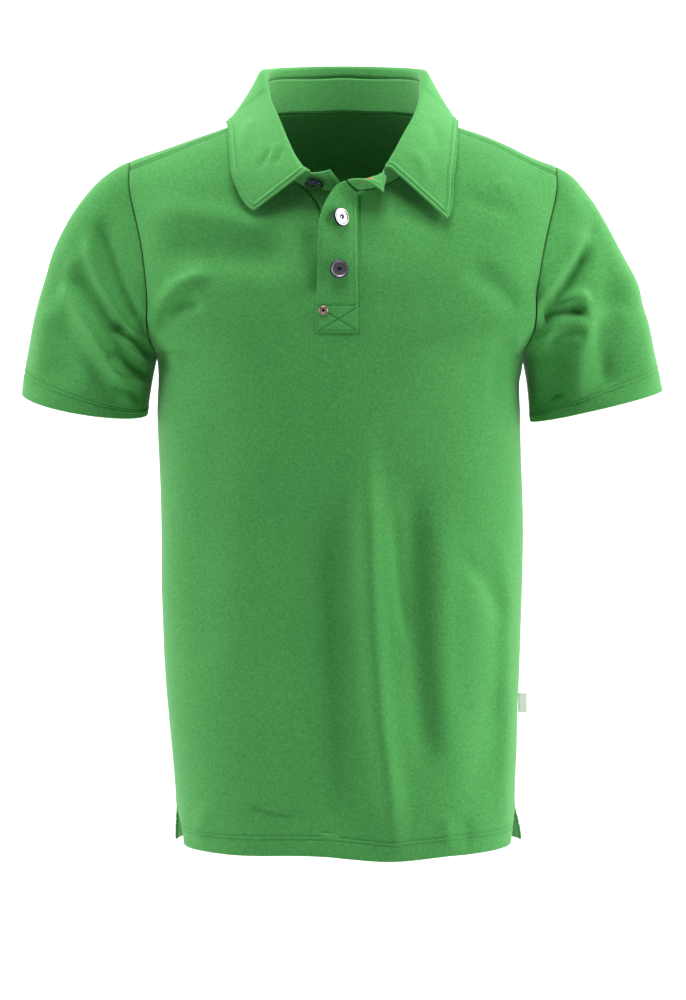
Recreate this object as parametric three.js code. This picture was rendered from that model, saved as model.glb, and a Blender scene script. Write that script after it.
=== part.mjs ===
// Short-sleeved polo shirt as it hangs when worn: hollow, with open neck, cuffs and hem.
// Millimetres, +Z up. The wearer's left is +X and the front is -Y.
// The origin lies midway between the two neck points of the shoulders, where the wearer carries the shirt.
import * as THREE from "three";

// Cloth and seams
const clothThickness = 1.5; // pique knit
const hemThickness = 2.6; // cloth turned up inside a hem
const collarThickness = 2.0; // two layers of cloth and an interlining
const seamGap = 0.3;
const sectionPower = 2.2; // 2 is an ellipse, more is squarer

// Lengths
const underarmZ = -245;
const hemZ = { frontCentre: -732, frontSide: -727, back: -727 };
const bottomHem = 20;
const ventTopZ = -684;
const ventOpening = { front: 0.1, back: 0.0 }; // share of the quarter round that the slit's edge swings away
const ventFlare = { front: { right: -9, left: -3 }, back: { right: 3, left: 8 } };
const hemWaves = [
  { x: 45, width: 36, drop: 3 },
  { x: -42, width: 44, drop: -3 },
];

// Shoulders: the cloth rolls over a ridge that slopes down from the neck
const neckHalfWidth = 79;
const shoulderHalfWidth = 212;
const ridgeAtNeckZ = -3;
const shoulderSlope = 0.348;
const ridgeRounding = 12;
const ridgeRoll = 70; // height over which the cloth turns from flat to upright
const napeRise = 14; // extra height of the back of the neck
const shoulderTilt = { fromX: 140, toX: 200, drop: 5 }; // the wearer's left shoulder hangs a little lower
const seamForward = { atNeck: 27, atShoulder: 36 }; // along the cloth, from the ridge to the seam in front
const armholeDepthShare = 0.54; // of the body's depth, at the widest part of the armhole
const armholeRise = 55; // height of the rounded foot of the armhole

// Neckline
const frontNeckDrop = 89;
const neckSquareness = 0.6;
const backNeckDepth = 60;
const neckShare = 0.48; // share of a panel's half width, in columns, that ends on the neckline

// Horizontal sections of the body, from below the hem to above the shoulders
const bodySections = [
  { z: -800, half: 166, shift: 3, front: 111, back: 108 },
  { z: -732, half: 168, shift: 3, front: 112, back: 109 },
  { z: -668, half: 170, shift: 2, front: 113, back: 110 },
  { z: -600, half: 174, shift: 0, front: 114, back: 110 },
  { z: -520, half: 178.5, shift: -1, front: 115, back: 106 },
  { z: -400, half: 180.5, shift: -1, front: 118, back: 103 },
  { z: -310, half: 181, shift: -4, front: 121, back: 105 },
  { z: -245, half: 183, shift: -3, front: 122, back: 108 },
  { z: -225, half: 203, shift: 0, front: 122, back: 109 },
  { z: -205, half: 215, shift: 0, front: 121, back: 110 },
  { z: -170, half: 219, shift: 0, front: 118, back: 111 },
  { z: -125, half: 220, shift: 0, front: 106, back: 110 },
  { z: -95, half: 225, shift: 0, front: 94, back: 106 },
  { z: -57, half: 241, shift: 0, front: 79, back: 97 },
  { z: 0, half: 255, shift: 0, front: 63, back: 81 },
  { z: 40, half: 260, shift: 0, front: 58, back: 70 },
];

// Placket: the slit in the front panel, the under placket that fills it and the top placket over both
const slotColumns = { right: -0.084, left: 0.056 }; // columns of the front panel, x = 250 times these
const centreScale = 250;
const slotFootShare = 0.15; // share of the way from underarm to neckline
const slotFlare = { fromRow: 0.72, reach: 25, beside: 60 }; // the under placket's seam pulled aside
const topPlacket = { footZ: -229, leftX: 16.5, leftXAtNeck: 15, cornerX: 3, liftFromZ: -185, lift: 20 };
const placketLift = clothThickness + 0.35; // of the top placket's outer face off the front's
const standClear = { under: 0.4, top: 0.5 }; // from the plackets' top edges up to the stand
const topPlacketEdge = [
  { z: -229, x: -26 },
  { z: -197, x: -25.6 },
  { z: -162, x: -24 },
  { z: -135, x: -21.9 },
  { z: -125, x: -20.5 },
  { z: -116, x: -16.8 },
  { z: -109, x: -13.3 },
  { z: -102, x: -8.9 },
  { z: -96, x: -3.8 },
  { z: -92.8, x: 3 },
];

// Folds of the cloth, from (x0, z0) to (x1, z1): bowed sideways, and raised or, with a negative depth, sunk
const creases = [
  { panel: "front", x0: 27, z0: -335, x1: 50, z1: -725, bow: 6, width: 15, depth: 9 },
  { panel: "front", x0: -18, z0: -400, x1: -10, z1: -700, bow: 0, width: 34, depth: -9 },
  { panel: "front", x0: 62, z0: -370, x1: 78, z1: -640, bow: 4, width: 17, depth: -6 },
  { panel: "front", x0: 150, z0: -420, x1: 128, z1: -690, bow: -12, width: 18, depth: -7 },
  { panel: "front", x0: 165, z0: -560, x1: 160, z1: -715, bow: 0, width: 9, depth: 4 },
  { panel: "front", x0: -184, z0: -205, x1: -128, z1: -168, bow: -4, width: 8, depth: 5 },
  { panel: "front", x0: -182, z0: -222, x1: -136, z1: -196, bow: -5, width: 8, depth: -7 },
  { panel: "front", x0: -185, z0: -105, x1: -70, z1: -128, bow: -4, width: 13, depth: 4 },
  { panel: "front", x0: -175, z0: -150, x1: -60, z1: -155, bow: 0, width: 20, depth: -5 },
  { panel: "front", x0: 170, z0: -205, x1: 120, z1: -165, bow: 4, width: 12, depth: -4 },
  { panel: "back", x0: -40, z0: -300, x1: -66, z1: -715, bow: 8, width: 16, depth: 8 },
  { panel: "back", x0: 30, z0: -330, x1: 44, z1: -715, bow: -6, width: 18, depth: 8 },
  { panel: "back", x0: -4, z0: -330, x1: -10, z1: -690, bow: 0, width: 22, depth: -8 },
  { panel: "back", x0: 96, z0: -360, x1: 104, z1: -690, bow: 5, width: 20, depth: -7 },
  { panel: "back", x0: -112, z0: -350, x1: -118, z1: -690, bow: -5, width: 20, depth: -7 },
  { panel: "back", x0: -180, z0: -215, x1: -110, z1: -165, bow: 6, width: 11, depth: -6 },
  { panel: "back", x0: 180, z0: -215, x1: 112, z1: -168, bow: -6, width: 11, depth: -6 },
  { panel: "sleeve", x0: 190, z0: -214, x1: 246, z1: -120, bow: 3, width: 11, depth: -10 },
  { panel: "sleeve", x0: 192, z0: -222, x1: 244, z1: -194, bow: -8, width: 10, depth: -10 },
  { panel: "sleeve", x0: 204, z0: -196, x1: 264, z1: -150, bow: 0, width: 11, depth: 6 },
  { panel: "sleeve", x0: 286, z0: -165, x1: 268, z1: -280, bow: 0, width: 18, depth: -6 },
  { panel: "sleeve", x0: 232, z0: -70, x1: 262, z1: -150, bow: -4, width: 14, depth: -4 },
  { panel: "sleeve", x0: -188, z0: -232, x1: -236, z1: -128, bow: -6, width: 11, depth: 8 },
  { panel: "sleeve", x0: -190, z0: -250, x1: -230, z1: -218, bow: 3, width: 9, depth: 6 },
  { panel: "sleeve", x0: -212, z0: -290, x1: -262, z1: -190, bow: 8, width: 13, depth: 7 },
  { panel: "sleeve", x0: -206, z0: -180, x1: -242, z1: -246, bow: 0, width: 15, depth: -9 },
  { panel: "sleeve", x0: -284, z0: -150, x1: -270, z1: -280, bow: 0, width: 18, depth: -5 },
];
const creaseFade = { side: 0.08, top: 0.12 }; // share of a panel over which its folds die out at the seams

// Sleeves: how the cloth leaves the armhole and arrives at the cuff, from the underarm up to the shoulder
const sleeveFlow = [
  { rise: 0, out: 12, drop: 60, bulge: 0, cuffOut: 4, cuffDrop: 62 },
  { rise: 0.5, out: 95, drop: 105, bulge: 22, cuffOut: 34, cuffDrop: 170 },
  { rise: 1, out: 200, drop: 84, bulge: 0, cuffOut: 45, cuffDrop: 290 },
];
const cuffHalfDepth = 51;
const cuffs = {
  left: { innerX: 187, innerZ: -309, outerX: 320, outerZ: -279, tilt: -0.1, out: 0.88, arrive: 1.65 },
  right: { innerX: 195, innerZ: -302, outerX: 321, outerZ: -282, tilt: -0.24, out: 1.1, arrive: 0.8 },
};
const sleeveHemRow = 0.91; // share of the way to the cuff at which the turned hem begins

// Collar: where its seam lies round the neck, in degrees from the centre front, the top of its fold,
// the leaf's edge [x, length from the ridge, lift off the cloth] and the height of the stand
const collarFold = 3.4; // radius of the fold
const foldReach = 14; // most that the corner may rise above the fold
const collarStations = [
  { seam: 3.6, fold: [-14.5, -112, -71], edge: [-40, 152, 14], stand: 31 },
  { seam: -20, fold: [-34.6, -111, -74], edge: [-83.5, 147, 5], stand: 23 },
  { seam: -38, fold: [-46.4, -99, -60], edge: [-104.2, 111, 6], stand: 21 },
  { seam: -55, fold: [-56, -81, -38], edge: [-109.1, 79, 5], stand: 27 },
  { seam: -72, fold: [-64.4, -60, -15], edge: [-113.3, 28, 4], stand: 30 },
  { seam: -86, fold: [-74, -30, 10], edge: [-115, 9, 4], stand: 31 },
  { seam: -103, fold: [-79.5, 0, 38], edge: [-111, -10, 4], stand: 34 },
  { seam: -125, fold: [-72, 32, 47], edge: [-94, -33, 5], stand: 36 },
  { seam: -152, fold: [-40, 57, 53], edge: [-56, -53, 6], stand: 36 },
  { seam: -180, fold: [0, 65, 55], edge: [0, -73, 6], stand: 36 },
  { seam: -208, fold: [40, 57, 53], edge: [56, -53, 6], stand: 36 },
  { seam: -235, fold: [73, 32, 47], edge: [94, -33, 5], stand: 36 },
  { seam: -257, fold: [81, 0, 38], edge: [110.5, -10, 4], stand: 34 },
  { seam: -274, fold: [78, -32, 12], edge: [112.5, 9, 4], stand: 31 },
  { seam: -288, fold: [72, -56, -10], edge: [113, 27, 4], stand: 30 },
  { seam: -305, fold: [62, -76, -31], edge: [110, 70, 5], stand: 29 },
  { seam: -322, fold: [53, -89, -50], edge: [106.5, 101, 6], stand: 25 },
  { seam: -336, fold: [44.3, -98, -69], edge: [98, 150.5, 6], stand: 20 },
  { seam: -356.4, fold: [38, -108, -94], edge: [50, 170, 14], stand: 33 },
];
const standFoot = 0.042; // share of the stand's height left free at the neck seam
const leafFirst = 1; // stations where the leaf begins and ends
const leafLast = 17;
const turnedEnd = [0, -2, 0]; // how far the end of the stand that is turned outwards is bowed

// Buttons
const buttonRadius = 9;
const button = { cap: 2.4, shank: 2.6, shankRadius: 3, dish: 0.5, boss: 2.4, seat: 0.9 };
const placketButtons = [
  { name: "button_upper", x: -4.5, z: -122, tilt: [0.26, 0, 0.05] },
  { name: "button_lower", x: -4, z: -169.4, tilt: [0.06, 0, 0] },
];
const standButton = { at: 0.85, share: 0.5, tilt: [0, 0.1, -0.3] };
const rivet = { x: -18.6, z: -208, radius: 4.5, height: 1.6, hole: 1.5, seat: 0.4 };
const sideLabel = { topZ: -581, height: 19, reach: 9, thickness: 1.2, gap: 0.5 };

const clamp = (t) => Math.min(1, Math.max(0, t));
const mix = (a, b, t) => a + (b - a) * t;
const smooth = (t) => clamp(t) ** 2 * (3 - 2 * clamp(t));
const degrees = (a) => (a * Math.PI) / 180;
const vector = (p) => new THREE.Vector3(...p);

// A smooth curve through a table's rows: the named column at the given value of the key column.
function readTable(rows, key, column, at) {
  let i = 0;
  while (i < rows.length - 2 && at > rows[i + 1][key]) i++;
  const slope = (j) => {
    const a = rows[Math.max(j - 1, 0)];
    const b = rows[Math.min(j + 1, rows.length - 1)];
    return (b[column] - a[column]) / (b[key] - a[key]);
  };
  const span = rows[i + 1][key] - rows[i][key];
  const t = clamp((at - rows[i][key]) / span);
  const t2 = t * t;
  const t3 = t2 * t;
  return (
    (2 * t3 - 3 * t2 + 1) * rows[i][column] +
    (t3 - 2 * t2 + t) * span * slope(i) +
    (3 * t2 - 2 * t3) * rows[i + 1][column] +
    (t3 - t2) * span * slope(i + 1)
  );
}

const section = (column, z) => readTable(bodySections, "z", column, z);

// Depth of the body's section at x, as a share of its depth at the centre.
function depthShare(x, z) {
  const across = Math.min(1, Math.abs(x - section("shift", z)) / section("half", z));
  return (1 - across ** sectionPower) ** (1 / sectionPower);
}

function ridgeZ(x) {
  const out = Math.hypot(x, ridgeRounding);
  const nape = napeRise * Math.max(0, 1 - Math.abs(x / neckHalfWidth) ** 3);
  const { fromX, toX, drop } = shoulderTilt;
  const tilt = drop * smooth((x - fromX) / (toX - fromX));
  return ridgeAtNeckZ + shoulderSlope * (neckHalfWidth - out) + nape - tilt;
}

// The way over the shoulder: tau is the length along the cloth from the ridge, negative past it.
function rollOver(tau) {
  const quarter = (ridgeRoll * Math.PI) / 2;
  if (Math.abs(tau) > quarter) return { drop: ridgeRoll + Math.abs(tau) - quarter, lean: Math.sign(tau) };
  return { drop: ridgeRoll * (1 - Math.cos(tau / ridgeRoll)), lean: Math.sin(tau / ridgeRoll) };
}

function tauOfDrop(drop) {
  const quarter = (ridgeRoll * Math.PI) / 2;
  if (drop > ridgeRoll) return quarter + drop - ridgeRoll;
  return ridgeRoll * Math.acos(1 - Math.max(0, drop) / ridgeRoll);
}

// A point of the worn form: side is "front" or "back".
function formPoint(side, x, z, lean = 1) {
  const own = side === "front" ? -1 : 1;
  const direction = own * Math.sign(lean || 1);
  const depth = section(direction < 0 ? "front" : "back", z) * depthShare(x, z);
  return new THREE.Vector3(x, direction * Math.abs(lean) * depth, z);
}

// A point over the form: at x, tau along the cloth from the ridge, lifted off the cloth.
function overForm(x, tau, lift = 0) {
  const place = (px, pt) => {
    const roll = rollOver(pt);
    return formPoint("front", px, ridgeZ(px) - roll.drop, roll.lean);
  };
  const across = place(x + 1, tau).sub(place(x - 1, tau));
  const along = place(x, tau - 1).sub(place(x, tau + 1));
  const normal = across.cross(along).normalize();
  return { point: place(x, tau).addScaledVector(normal, lift), normal };
}

// The neck ring, in degrees from the centre front: where it lies on the form.
function neckRing(angle) {
  const a = degrees(Math.abs(angle));
  const x = neckHalfWidth * Math.sin(a) * Math.sign(angle || 1);
  if (a <= Math.PI / 2) {
    const z = ridgeAtNeckZ - frontNeckDrop * Math.cos(a) ** neckSquareness;
    return { x, tau: tauOfDrop(ridgeZ(x) - z) };
  }
  const guess = ridgeZ(x) - 20;
  const lean = Math.min(1, (-backNeckDepth * Math.cos(a)) / (section("back", guess) * depthShare(x, guess)));
  return { x, tau: -ridgeRoll * Math.asin(lean) };
}

function neckZAt(x) {
  return ridgeAtNeckZ - frontNeckDrop * (1 - Math.min(1, (x / neckHalfWidth) ** 2)) ** (neckSquareness / 2);
}

function neckPoint(angle) {
  const wrapped = angle < -180 ? angle + 360 : angle;
  const { x, tau } = neckRing(wrapped);
  return overForm(x, tau).point;
}

function seamTau(x) {
  const share = (Math.abs(x) - neckHalfWidth) / (shoulderHalfWidth - neckHalfWidth);
  return mix(seamForward.atNeck, seamForward.atShoulder, share);
}

// The angle at which the neck ring meets the shoulder seam.
const seamAngle = (() => {
  let low = 60;
  let high = 90;
  for (let i = 0; i < 40; i++) {
    const middle = (low + high) / 2;
    if (neckRing(middle).tau > seamTau(neckHalfWidth)) low = middle;
    else high = middle;
  }
  return low;
})();

function creaseDepth(panel, x, z) {
  let sum = 0;
  for (const c of creases) {
    if (c.panel !== panel) continue;
    const dx = c.x1 - c.x0;
    const dz = c.z1 - c.z0;
    const length = Math.hypot(dx, dz);
    const t = ((x - c.x0) * dx + (z - c.z0) * dz) / length ** 2;
    const off = ((x - c.x0) * dz - (z - c.z0) * dx) / length - c.bow * 4 * t * (1 - t);
    const ends = smooth(t / 0.3 + 0.25) * smooth((1 - t) / 0.25 + 0.25);
    sum += c.depth * ends * Math.exp(-((off / c.width) ** 2));
  }
  return sum;
}

// Where a panel's column and row lie. u runs from the wearer's right edge (-1) to the left edge (1).
// v runs from the hem (0) to the underarm (1) and on to the top edge (2).
function panelPoint(side, u, v) {
  const front = side === "front";
  const own = front ? 1 : -1;
  const waveAt = (w) => w.drop * Math.exp(-(((centreScale * u - w.x) / w.width) ** 2));
  const wave = hemWaves.reduce((sum, w) => sum + waveAt(w), 0);
  const hem = front ? mix(hemZ.frontCentre, hemZ.frontSide, u * u) - wave : hemZ.back;
  const a = Math.abs(u);
  const sign = Math.sign(u);
  const spread = smooth((a - 0.1) / 0.35);
  let point;
  if (v <= 1) {
    const z = mix(hem, underarmZ, v);
    const slit = smooth((ventTopZ - z) / (ventTopZ - hem));
    const turn = (Math.PI / 2) * a * (1 - ventOpening[side] * slit * a ** 6);
    const x = mix(centreScale * a, section("half", z) * Math.sin(turn), spread);
    point = formPoint(side, section("shift", z) + sign * x, z);
    point.x += sign * ventFlare[side][sign > 0 ? "left" : "right"] * slit * a ** 10;
  } else {
    const s = v - 1;
    const topAngle = front ? (seamAngle * a) / neckShare : 180 - ((180 - seamAngle) * a) / neckShare;
    const top = a < neckShare ? neckRing(topAngle) : null;
    const topX = top ? top.x : mix(neckHalfWidth, shoulderHalfWidth, (a - neckShare) / (1 - neckShare));
    let topTau = top ? top.tau : seamTau(topX);
    const sideTau = tauOfDrop(ridgeZ(section("half", underarmZ)) - underarmZ);
    const edge = armholeAt(mix(sideTau, own * seamTau(shoulderHalfWidth), s), sign || 1);
    const angle = Math.asin(edge.across);
    const level = mix(centreScale * a, (Math.sin(angle * a) / edge.across) * edge.x, spread);
    const shift = section("shift", underarmZ) * (1 - s) ** 3;
    const plainX = sign * mix(level, topX, smooth((s - 0.25) / 0.75)) + shift;
    const x = front ? plainX - slotPull(plainX, s) : plainX;
    if (front && top) topTau = tauOfDrop(ridgeZ(x) - neckZAt(x));
    const footTau = tauOfDrop(ridgeZ(x) - underarmZ);
    const roll = rollOver(mix(footTau, own * topTau, s));
    point = formPoint(side, x, ridgeZ(x) - roll.drop, roll.lean);
  }
  const sideFade = smooth((1 - a) / creaseFade.side);
  const topFade = v > 1 ? smooth((2 - v) / creaseFade.top) : 1;
  point.y -= own * (creaseDepth(side, point.x, point.z) * sideFade * topFade + seamGap / 2);
  return point;
}

// The armhole's edge at a place along the roll over the shoulder.
function armholeAt(tau, sign) {
  const own = rollOver(Math.abs(tau));
  let x = shoulderHalfWidth;
  let z = 0;
  let across = 1;
  for (let i = 0; i < 12; i++) {
    z = ridgeZ(sign * x) - own.drop;
    const foot = clamp((z - underarmZ) / armholeRise);
    const share = armholeDepthShare * Math.sqrt(1 - (1 - foot) ** 2);
    across = (1 - share ** sectionPower) ** (1 / sectionPower);
    const wide = section("half", z) * across;
    x = mix(wide, shoulderHalfWidth, smooth(1 - own.drop / ridgeRoll) ** 2);
  }
  return { x, across: Math.min(0.9999, x / section("half", z)) };
}

// The under placket's seam is drawn to the wearer's right where the neck lies open.
function slotPull(x, s) {
  const near = x - centreScale * slotColumns.right;
  const slotWidth = centreScale * (slotColumns.left - slotColumns.right);
  const share = near > 0 ? 1 - near / slotWidth : 1 + near / slotFlare.beside;
  const open = clamp((s - slotFlare.fromRow) / (1 - slotFlare.fromRow));
  return slotFlare.reach * open ** 1.6 * clamp(share);
}

// A grid of points with columns [i] and rows [j].
function makeGrid(columns, rows, place) {
  return columns.map((u) => rows.map((v) => place(u, v)));
}

function gridNormals(grid, out, closed = false) {
  const count = grid.length;
  const column = (i) => grid[closed ? (i + count) % count : Math.min(Math.max(i, 0), count - 1)];
  return grid.map((points, i) =>
    points.map((_, j) => {
      const top = points.length - 1;
      const across = column(i + 1)[j].clone().sub(column(i - 1)[j]);
      const along = points[Math.min(j + 1, top)].clone().sub(points[Math.max(j - 1, 0)]);
      return across.cross(along).normalize().multiplyScalar(out);
    }),
  );
}

// Gives two rows of edge points the same normal, so that the walls that meet there are mitred.
function mitre(pairs) {
  for (const [a, b] of pairs) {
    const half = a.clone().add(b);
    if (half.length() < 0.05) continue;
    half.normalize();
    a.copy(half);
    b.copy(half);
  }
}

// A closed solid: the grid is the outer face and the wall lies behind it.
function clothSolid(grid, normals, thickness, { closed = false, keep = () => true } = {}) {
  const rows = grid[0].length;
  const columns = grid.length;
  const positions = [];
  const outer = (i, j) => (i % columns) * rows + j;
  const inner = (i, j) => columns * rows + outer(i, j);
  for (const points of grid) for (const p of points) positions.push(p.x, p.y, p.z);
  grid.forEach((points, i) =>
    points.forEach((p, j) => {
      const q = p.clone().addScaledVector(normals[i][j], -thickness(i, j));
      positions.push(q.x, q.y, q.z);
    }),
  );
  const cells = closed ? columns : columns - 1;
  const kept = (i, j) => {
    if (closed) i = (i + columns) % columns;
    return i >= 0 && j >= 0 && i < cells && j < rows - 1 && keep(i, j);
  };
  const faces = [];
  const quad = (a, b, c, d) => faces.push(a, b, c, a, c, d);
  for (let i = 0; i < cells; i++) {
    for (let j = 0; j < rows - 1; j++) {
      if (!kept(i, j)) continue;
      const next = grid[(i + 1) % columns];
      if (grid[i][j].distanceTo(next[j + 1]) <= next[j].distanceTo(grid[i][j + 1])) {
        quad(outer(i, j), outer(i + 1, j), outer(i + 1, j + 1), outer(i, j + 1));
        quad(inner(i, j), inner(i, j + 1), inner(i + 1, j + 1), inner(i + 1, j));
      } else {
        quad(outer(i + 1, j), outer(i + 1, j + 1), outer(i, j + 1), outer(i, j));
        quad(inner(i + 1, j), inner(i, j), inner(i, j + 1), inner(i + 1, j + 1));
      }
      if (!kept(i, j - 1)) quad(outer(i, j), inner(i, j), inner(i + 1, j), outer(i + 1, j));
      if (!kept(i, j + 1)) quad(outer(i, j + 1), outer(i + 1, j + 1), inner(i + 1, j + 1), inner(i, j + 1));
      if (!kept(i - 1, j)) quad(outer(i, j), outer(i, j + 1), inner(i, j + 1), inner(i, j));
      if (!kept(i + 1, j)) quad(outer(i + 1, j), inner(i + 1, j), inner(i + 1, j + 1), outer(i + 1, j + 1));
    }
  }
  const geometry = new THREE.BufferGeometry();
  geometry.setAttribute("position", new THREE.Float32BufferAttribute(positions, 3));
  geometry.setIndex(faces);
  if (volumeOf(geometry) < 0) {
    for (let i = 0; i < faces.length; i += 3) [faces[i + 1], faces[i + 2]] = [faces[i + 2], faces[i + 1]];
    geometry.setIndex(faces);
  }
  geometry.computeVertexNormals();
  return geometry;
}

function volumeOf(geometry) {
  const p = geometry.getAttribute("position");
  const index = geometry.getIndex().array;
  const [a, b, c] = [new THREE.Vector3(), new THREE.Vector3(), new THREE.Vector3()];
  let sum = 0;
  for (let i = 0; i < index.length; i += 3) {
    a.fromBufferAttribute(p, index[i]);
    b.fromBufferAttribute(p, index[i + 1]);
    c.fromBufferAttribute(p, index[i + 2]);
    sum += a.dot(b.cross(c)) / 6;
  }
  return sum;
}

const steps = (from, to, count) => Array.from({ length: count + 1 }, (_, i) => mix(from, to, i / count));

// Columns and rows shared by the body panels
const halfColumns = [0.14, 0.23, 0.32, 0.4, neckShare, 0.58, 0.68, 0.78, 0.86, 0.93, 1];
const centreColumns = [slotColumns.right, -0.015, slotColumns.left];
const panelColumns = [...halfColumns.map((u) => -u).reverse(), ...centreColumns, ...halfColumns];
const bodyLength = underarmZ - hemZ.back;
const hemRow = bottomHem / bodyLength;
const ventRow = (ventTopZ - hemZ.back) / bodyLength;
const lowerRows = [0, hemRow, hemRow * 1.08, ventRow, 0.17, 0.26, 0.36, 0.46, 0.56, 0.66, 0.76, 0.84, 0.92];
const upperRows = [1, 1.05, 1.1, 1 + slotFootShare, 1.22, 1.3, 1.39, 1.48, 1.57, 1.66, 1.75, 1.84, 1.92, 2];
const panelRows = [...lowerRows, ...upperRows];
const firstUpper = lowerRows.length;
const lastColumn = panelColumns.length - 1;
const lastRow = panelRows.length - 1;

function makePanel(side) {
  const grid = makeGrid(panelColumns, panelRows, (u, v) => panelPoint(side, u, v));
  return { grid, normals: gridNormals(grid, side === "front" ? 1 : -1) };
}

const front = makePanel("front");
const back = makePanel("back");

// Sleeves: rings from the armhole to the cuff, each ring starting under the arm and running up the front.
const hemEdgeRows = [sleeveHemRow - 0.005, sleeveHemRow + 0.005];
const sleeveRows = [0, 0.06, 0.13, 0.21, 0.29, 0.37, 0.45, 0.54, 0.63, 0.72, 0.81, ...hemEdgeRows, 1];

function sleevePoint(hand, seam, v) {
  const sign = hand === "left" ? 1 : -1;
  const { point, around, rise } = seam;
  const cuff = cuffs[hand];
  const centre = { x: (cuff.innerX + cuff.outerX) / 2, z: (cuff.innerZ + cuff.outerZ) / 2 };
  const turn = Math.PI * 2 * around;
  const inward = Math.cos(turn);
  const forward = Math.sin(turn);
  const end = new THREE.Vector3(
    sign * (centre.x - (inward * (cuff.outerX - cuff.innerX)) / 2),
    -forward * cuffHalfDepth,
    centre.z - (inward * (cuff.outerZ - cuff.innerZ)) / 2 + forward * cuffHalfDepth * cuff.tilt,
  );
  const flow = (column) => readTable(sleeveFlow, "rise", column, rise);
  const leaveX = sign * mix(1, cuff.out, rise) * flow("out");
  const leave = new THREE.Vector3(leaveX, -forward * flow("bulge"), -flow("drop"));
  const arrive = new THREE.Vector3(sign * mix(1, cuff.arrive, rise) * flow("cuffOut"), 0, -flow("cuffDrop"));
  const v2 = v * v;
  const v3 = v2 * v;
  return new THREE.Vector3()
    .addScaledVector(point, 2 * v3 - 3 * v2 + 1)
    .addScaledVector(leave, v3 - 2 * v2 + v)
    .addScaledVector(end, 3 * v2 - 2 * v3)
    .addScaledVector(arrive, v3 - v2);
}

function makeSleeve(hand) {
  const column = hand === "left" ? lastColumn : 0;
  const seams = [];
  const count = lastRow - firstUpper;
  const topZ = front.grid[column][lastRow].z;
  const addSeam = (panel, j, around) => {
    const point = panel.grid[column][firstUpper + j];
    const rise = clamp((point.z - underarmZ) / (topZ - underarmZ));
    seams.push({ point, around, rise, normal: panel.normals[column][firstUpper + j] });
  };
  for (let j = 0; j <= count; j++) addSeam(front, j, (0.5 * j) / count);
  for (let j = count - 1; j > 0; j--) addSeam(back, j, 1 - (0.5 * j) / count);
  const grid = makeGrid(seams, sleeveRows, (seam, v) => sleevePoint(hand, seam, v));
  const out = hand === "left" ? -1 : 1;
  const plain = gridNormals(grid, out, true);
  grid.forEach((points, i) =>
    points.forEach((p, j) => {
      const fade = smooth(sleeveRows[j] / 0.12) * mix(0.35, 1, smooth((1 - sleeveRows[j]) / 0.2));
      const facing = smooth(-plain[i][j].y * 2 + 0.4) + smooth(plain[i][j].y * 2 - 0.1);
      p.addScaledVector(plain[i][j], creaseDepth("sleeve", p.x, p.z) * fade * facing);
    }),
  );
  const normals = gridNormals(grid, out, true);
  mitre(seams.map((seam, i) => [seam.normal, normals[i][0]]));
  seams.forEach((seam, i) => {
    const next = seams[(i + 1) % seams.length].point;
    const before = seams[(i + seams.length - 1) % seams.length].point;
    const away = next.clone().sub(before).cross(normals[i][0]).normalize();
    const inside = grid[i][1].clone().sub(grid[i][0]).dot(away) > 0 ? 1 : -1;
    grid[i][0] = grid[i][0].clone().addScaledVector(away, inside * seamGap);
  });
  const wall = (i, j) => (sleeveRows[j] > sleeveHemRow ? hemThickness : clothThickness);
  return clothSolid(grid, normals, wall, { closed: true });
}

// Seams between the two body panels, then the sleeves, which share the armholes' normals
for (const i of [0, lastColumn]) {
  const rows = panelRows.map((_, j) => j).filter((j) => j <= firstUpper && panelRows[j] >= ventRow);
  mitre(rows.map((j) => [front.normals[i][j], back.normals[i][j]]));
}
mitre(
  panelColumns
    .map((u, i) => i)
    .filter((i) => Math.abs(panelColumns[i]) >= neckShare)
    .map((i) => [front.normals[i][lastRow], back.normals[i][lastRow]]),
);
for (const panel of [front, back]) {
  panelColumns.forEach((u, i) => {
    if (Math.abs(u) > neckShare) return;
    const place = collarPlaceOf(panel.grid[i][lastRow]);
    panel.normals[i][lastRow].copy(neckMitre(place));
  });
}
const sleeveLeft = makeSleeve("left");
const sleeveRight = makeSleeve("right");
for (const i of [0, lastColumn]) back.normals[i][firstUpper].copy(front.normals[i][firstUpper]);
for (const i of [0, lastColumn]) back.normals[i][lastRow].copy(front.normals[i][lastRow]);

const bodyWall = (i, j) => (panelRows[j] <= hemRow + 1e-6 ? hemThickness : clothThickness);
const slotLow = panelColumns.indexOf(slotColumns.right);
const slotHigh = panelColumns.indexOf(slotColumns.left);
const slotFoot = panelRows.indexOf(1 + slotFootShare);
const frontGeometry = clothSolid(front.grid, front.normals, bodyWall, {
  keep: (i, j) => !(i >= slotLow && i < slotHigh && j >= slotFoot),
});
const backGeometry = clothSolid(back.grid, back.normals, bodyWall);

// The front's surface at a place seen from the front, with its folds
function frontSurface(x, z) {
  const point = formPoint("front", x, z);
  point.y -= creaseDepth("front", x, z) + seamGap / 2;
  return point;
}

function outward(x, z) {
  const across = frontSurface(x + 1, z).sub(frontSurface(x - 1, z));
  const along = frontSurface(x, z + 1).sub(frontSurface(x, z - 1));
  return across.cross(along).normalize();
}

// The under placket fills the slit, flush with the front panel.
function makeUnderPlacket() {
  const columns = steps(0, 1, 4);
  const rows = panelRows.slice(slotFoot);
  const grid = makeGrid(columns, rows, (a, v) => {
    const right = panelPoint("front", slotColumns.right, v);
    const left = panelPoint("front", slotColumns.left, v);
    const x = mix(right.x + seamGap, left.x - seamGap, a);
    const z = mix(right.z, left.z, a) + (v === rows[0] ? seamGap : 0) - (v === 2 ? standClear.under : 0);
    return frontSurface(x, z);
  });
  const normals = columns.map((a) =>
    rows.map((_, k) => {
      const right = front.normals[slotLow][slotFoot + k];
      return right.clone().lerp(front.normals[slotHigh][slotFoot + k], a);
    }),
  );
  return { grid, normals };
}

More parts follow.
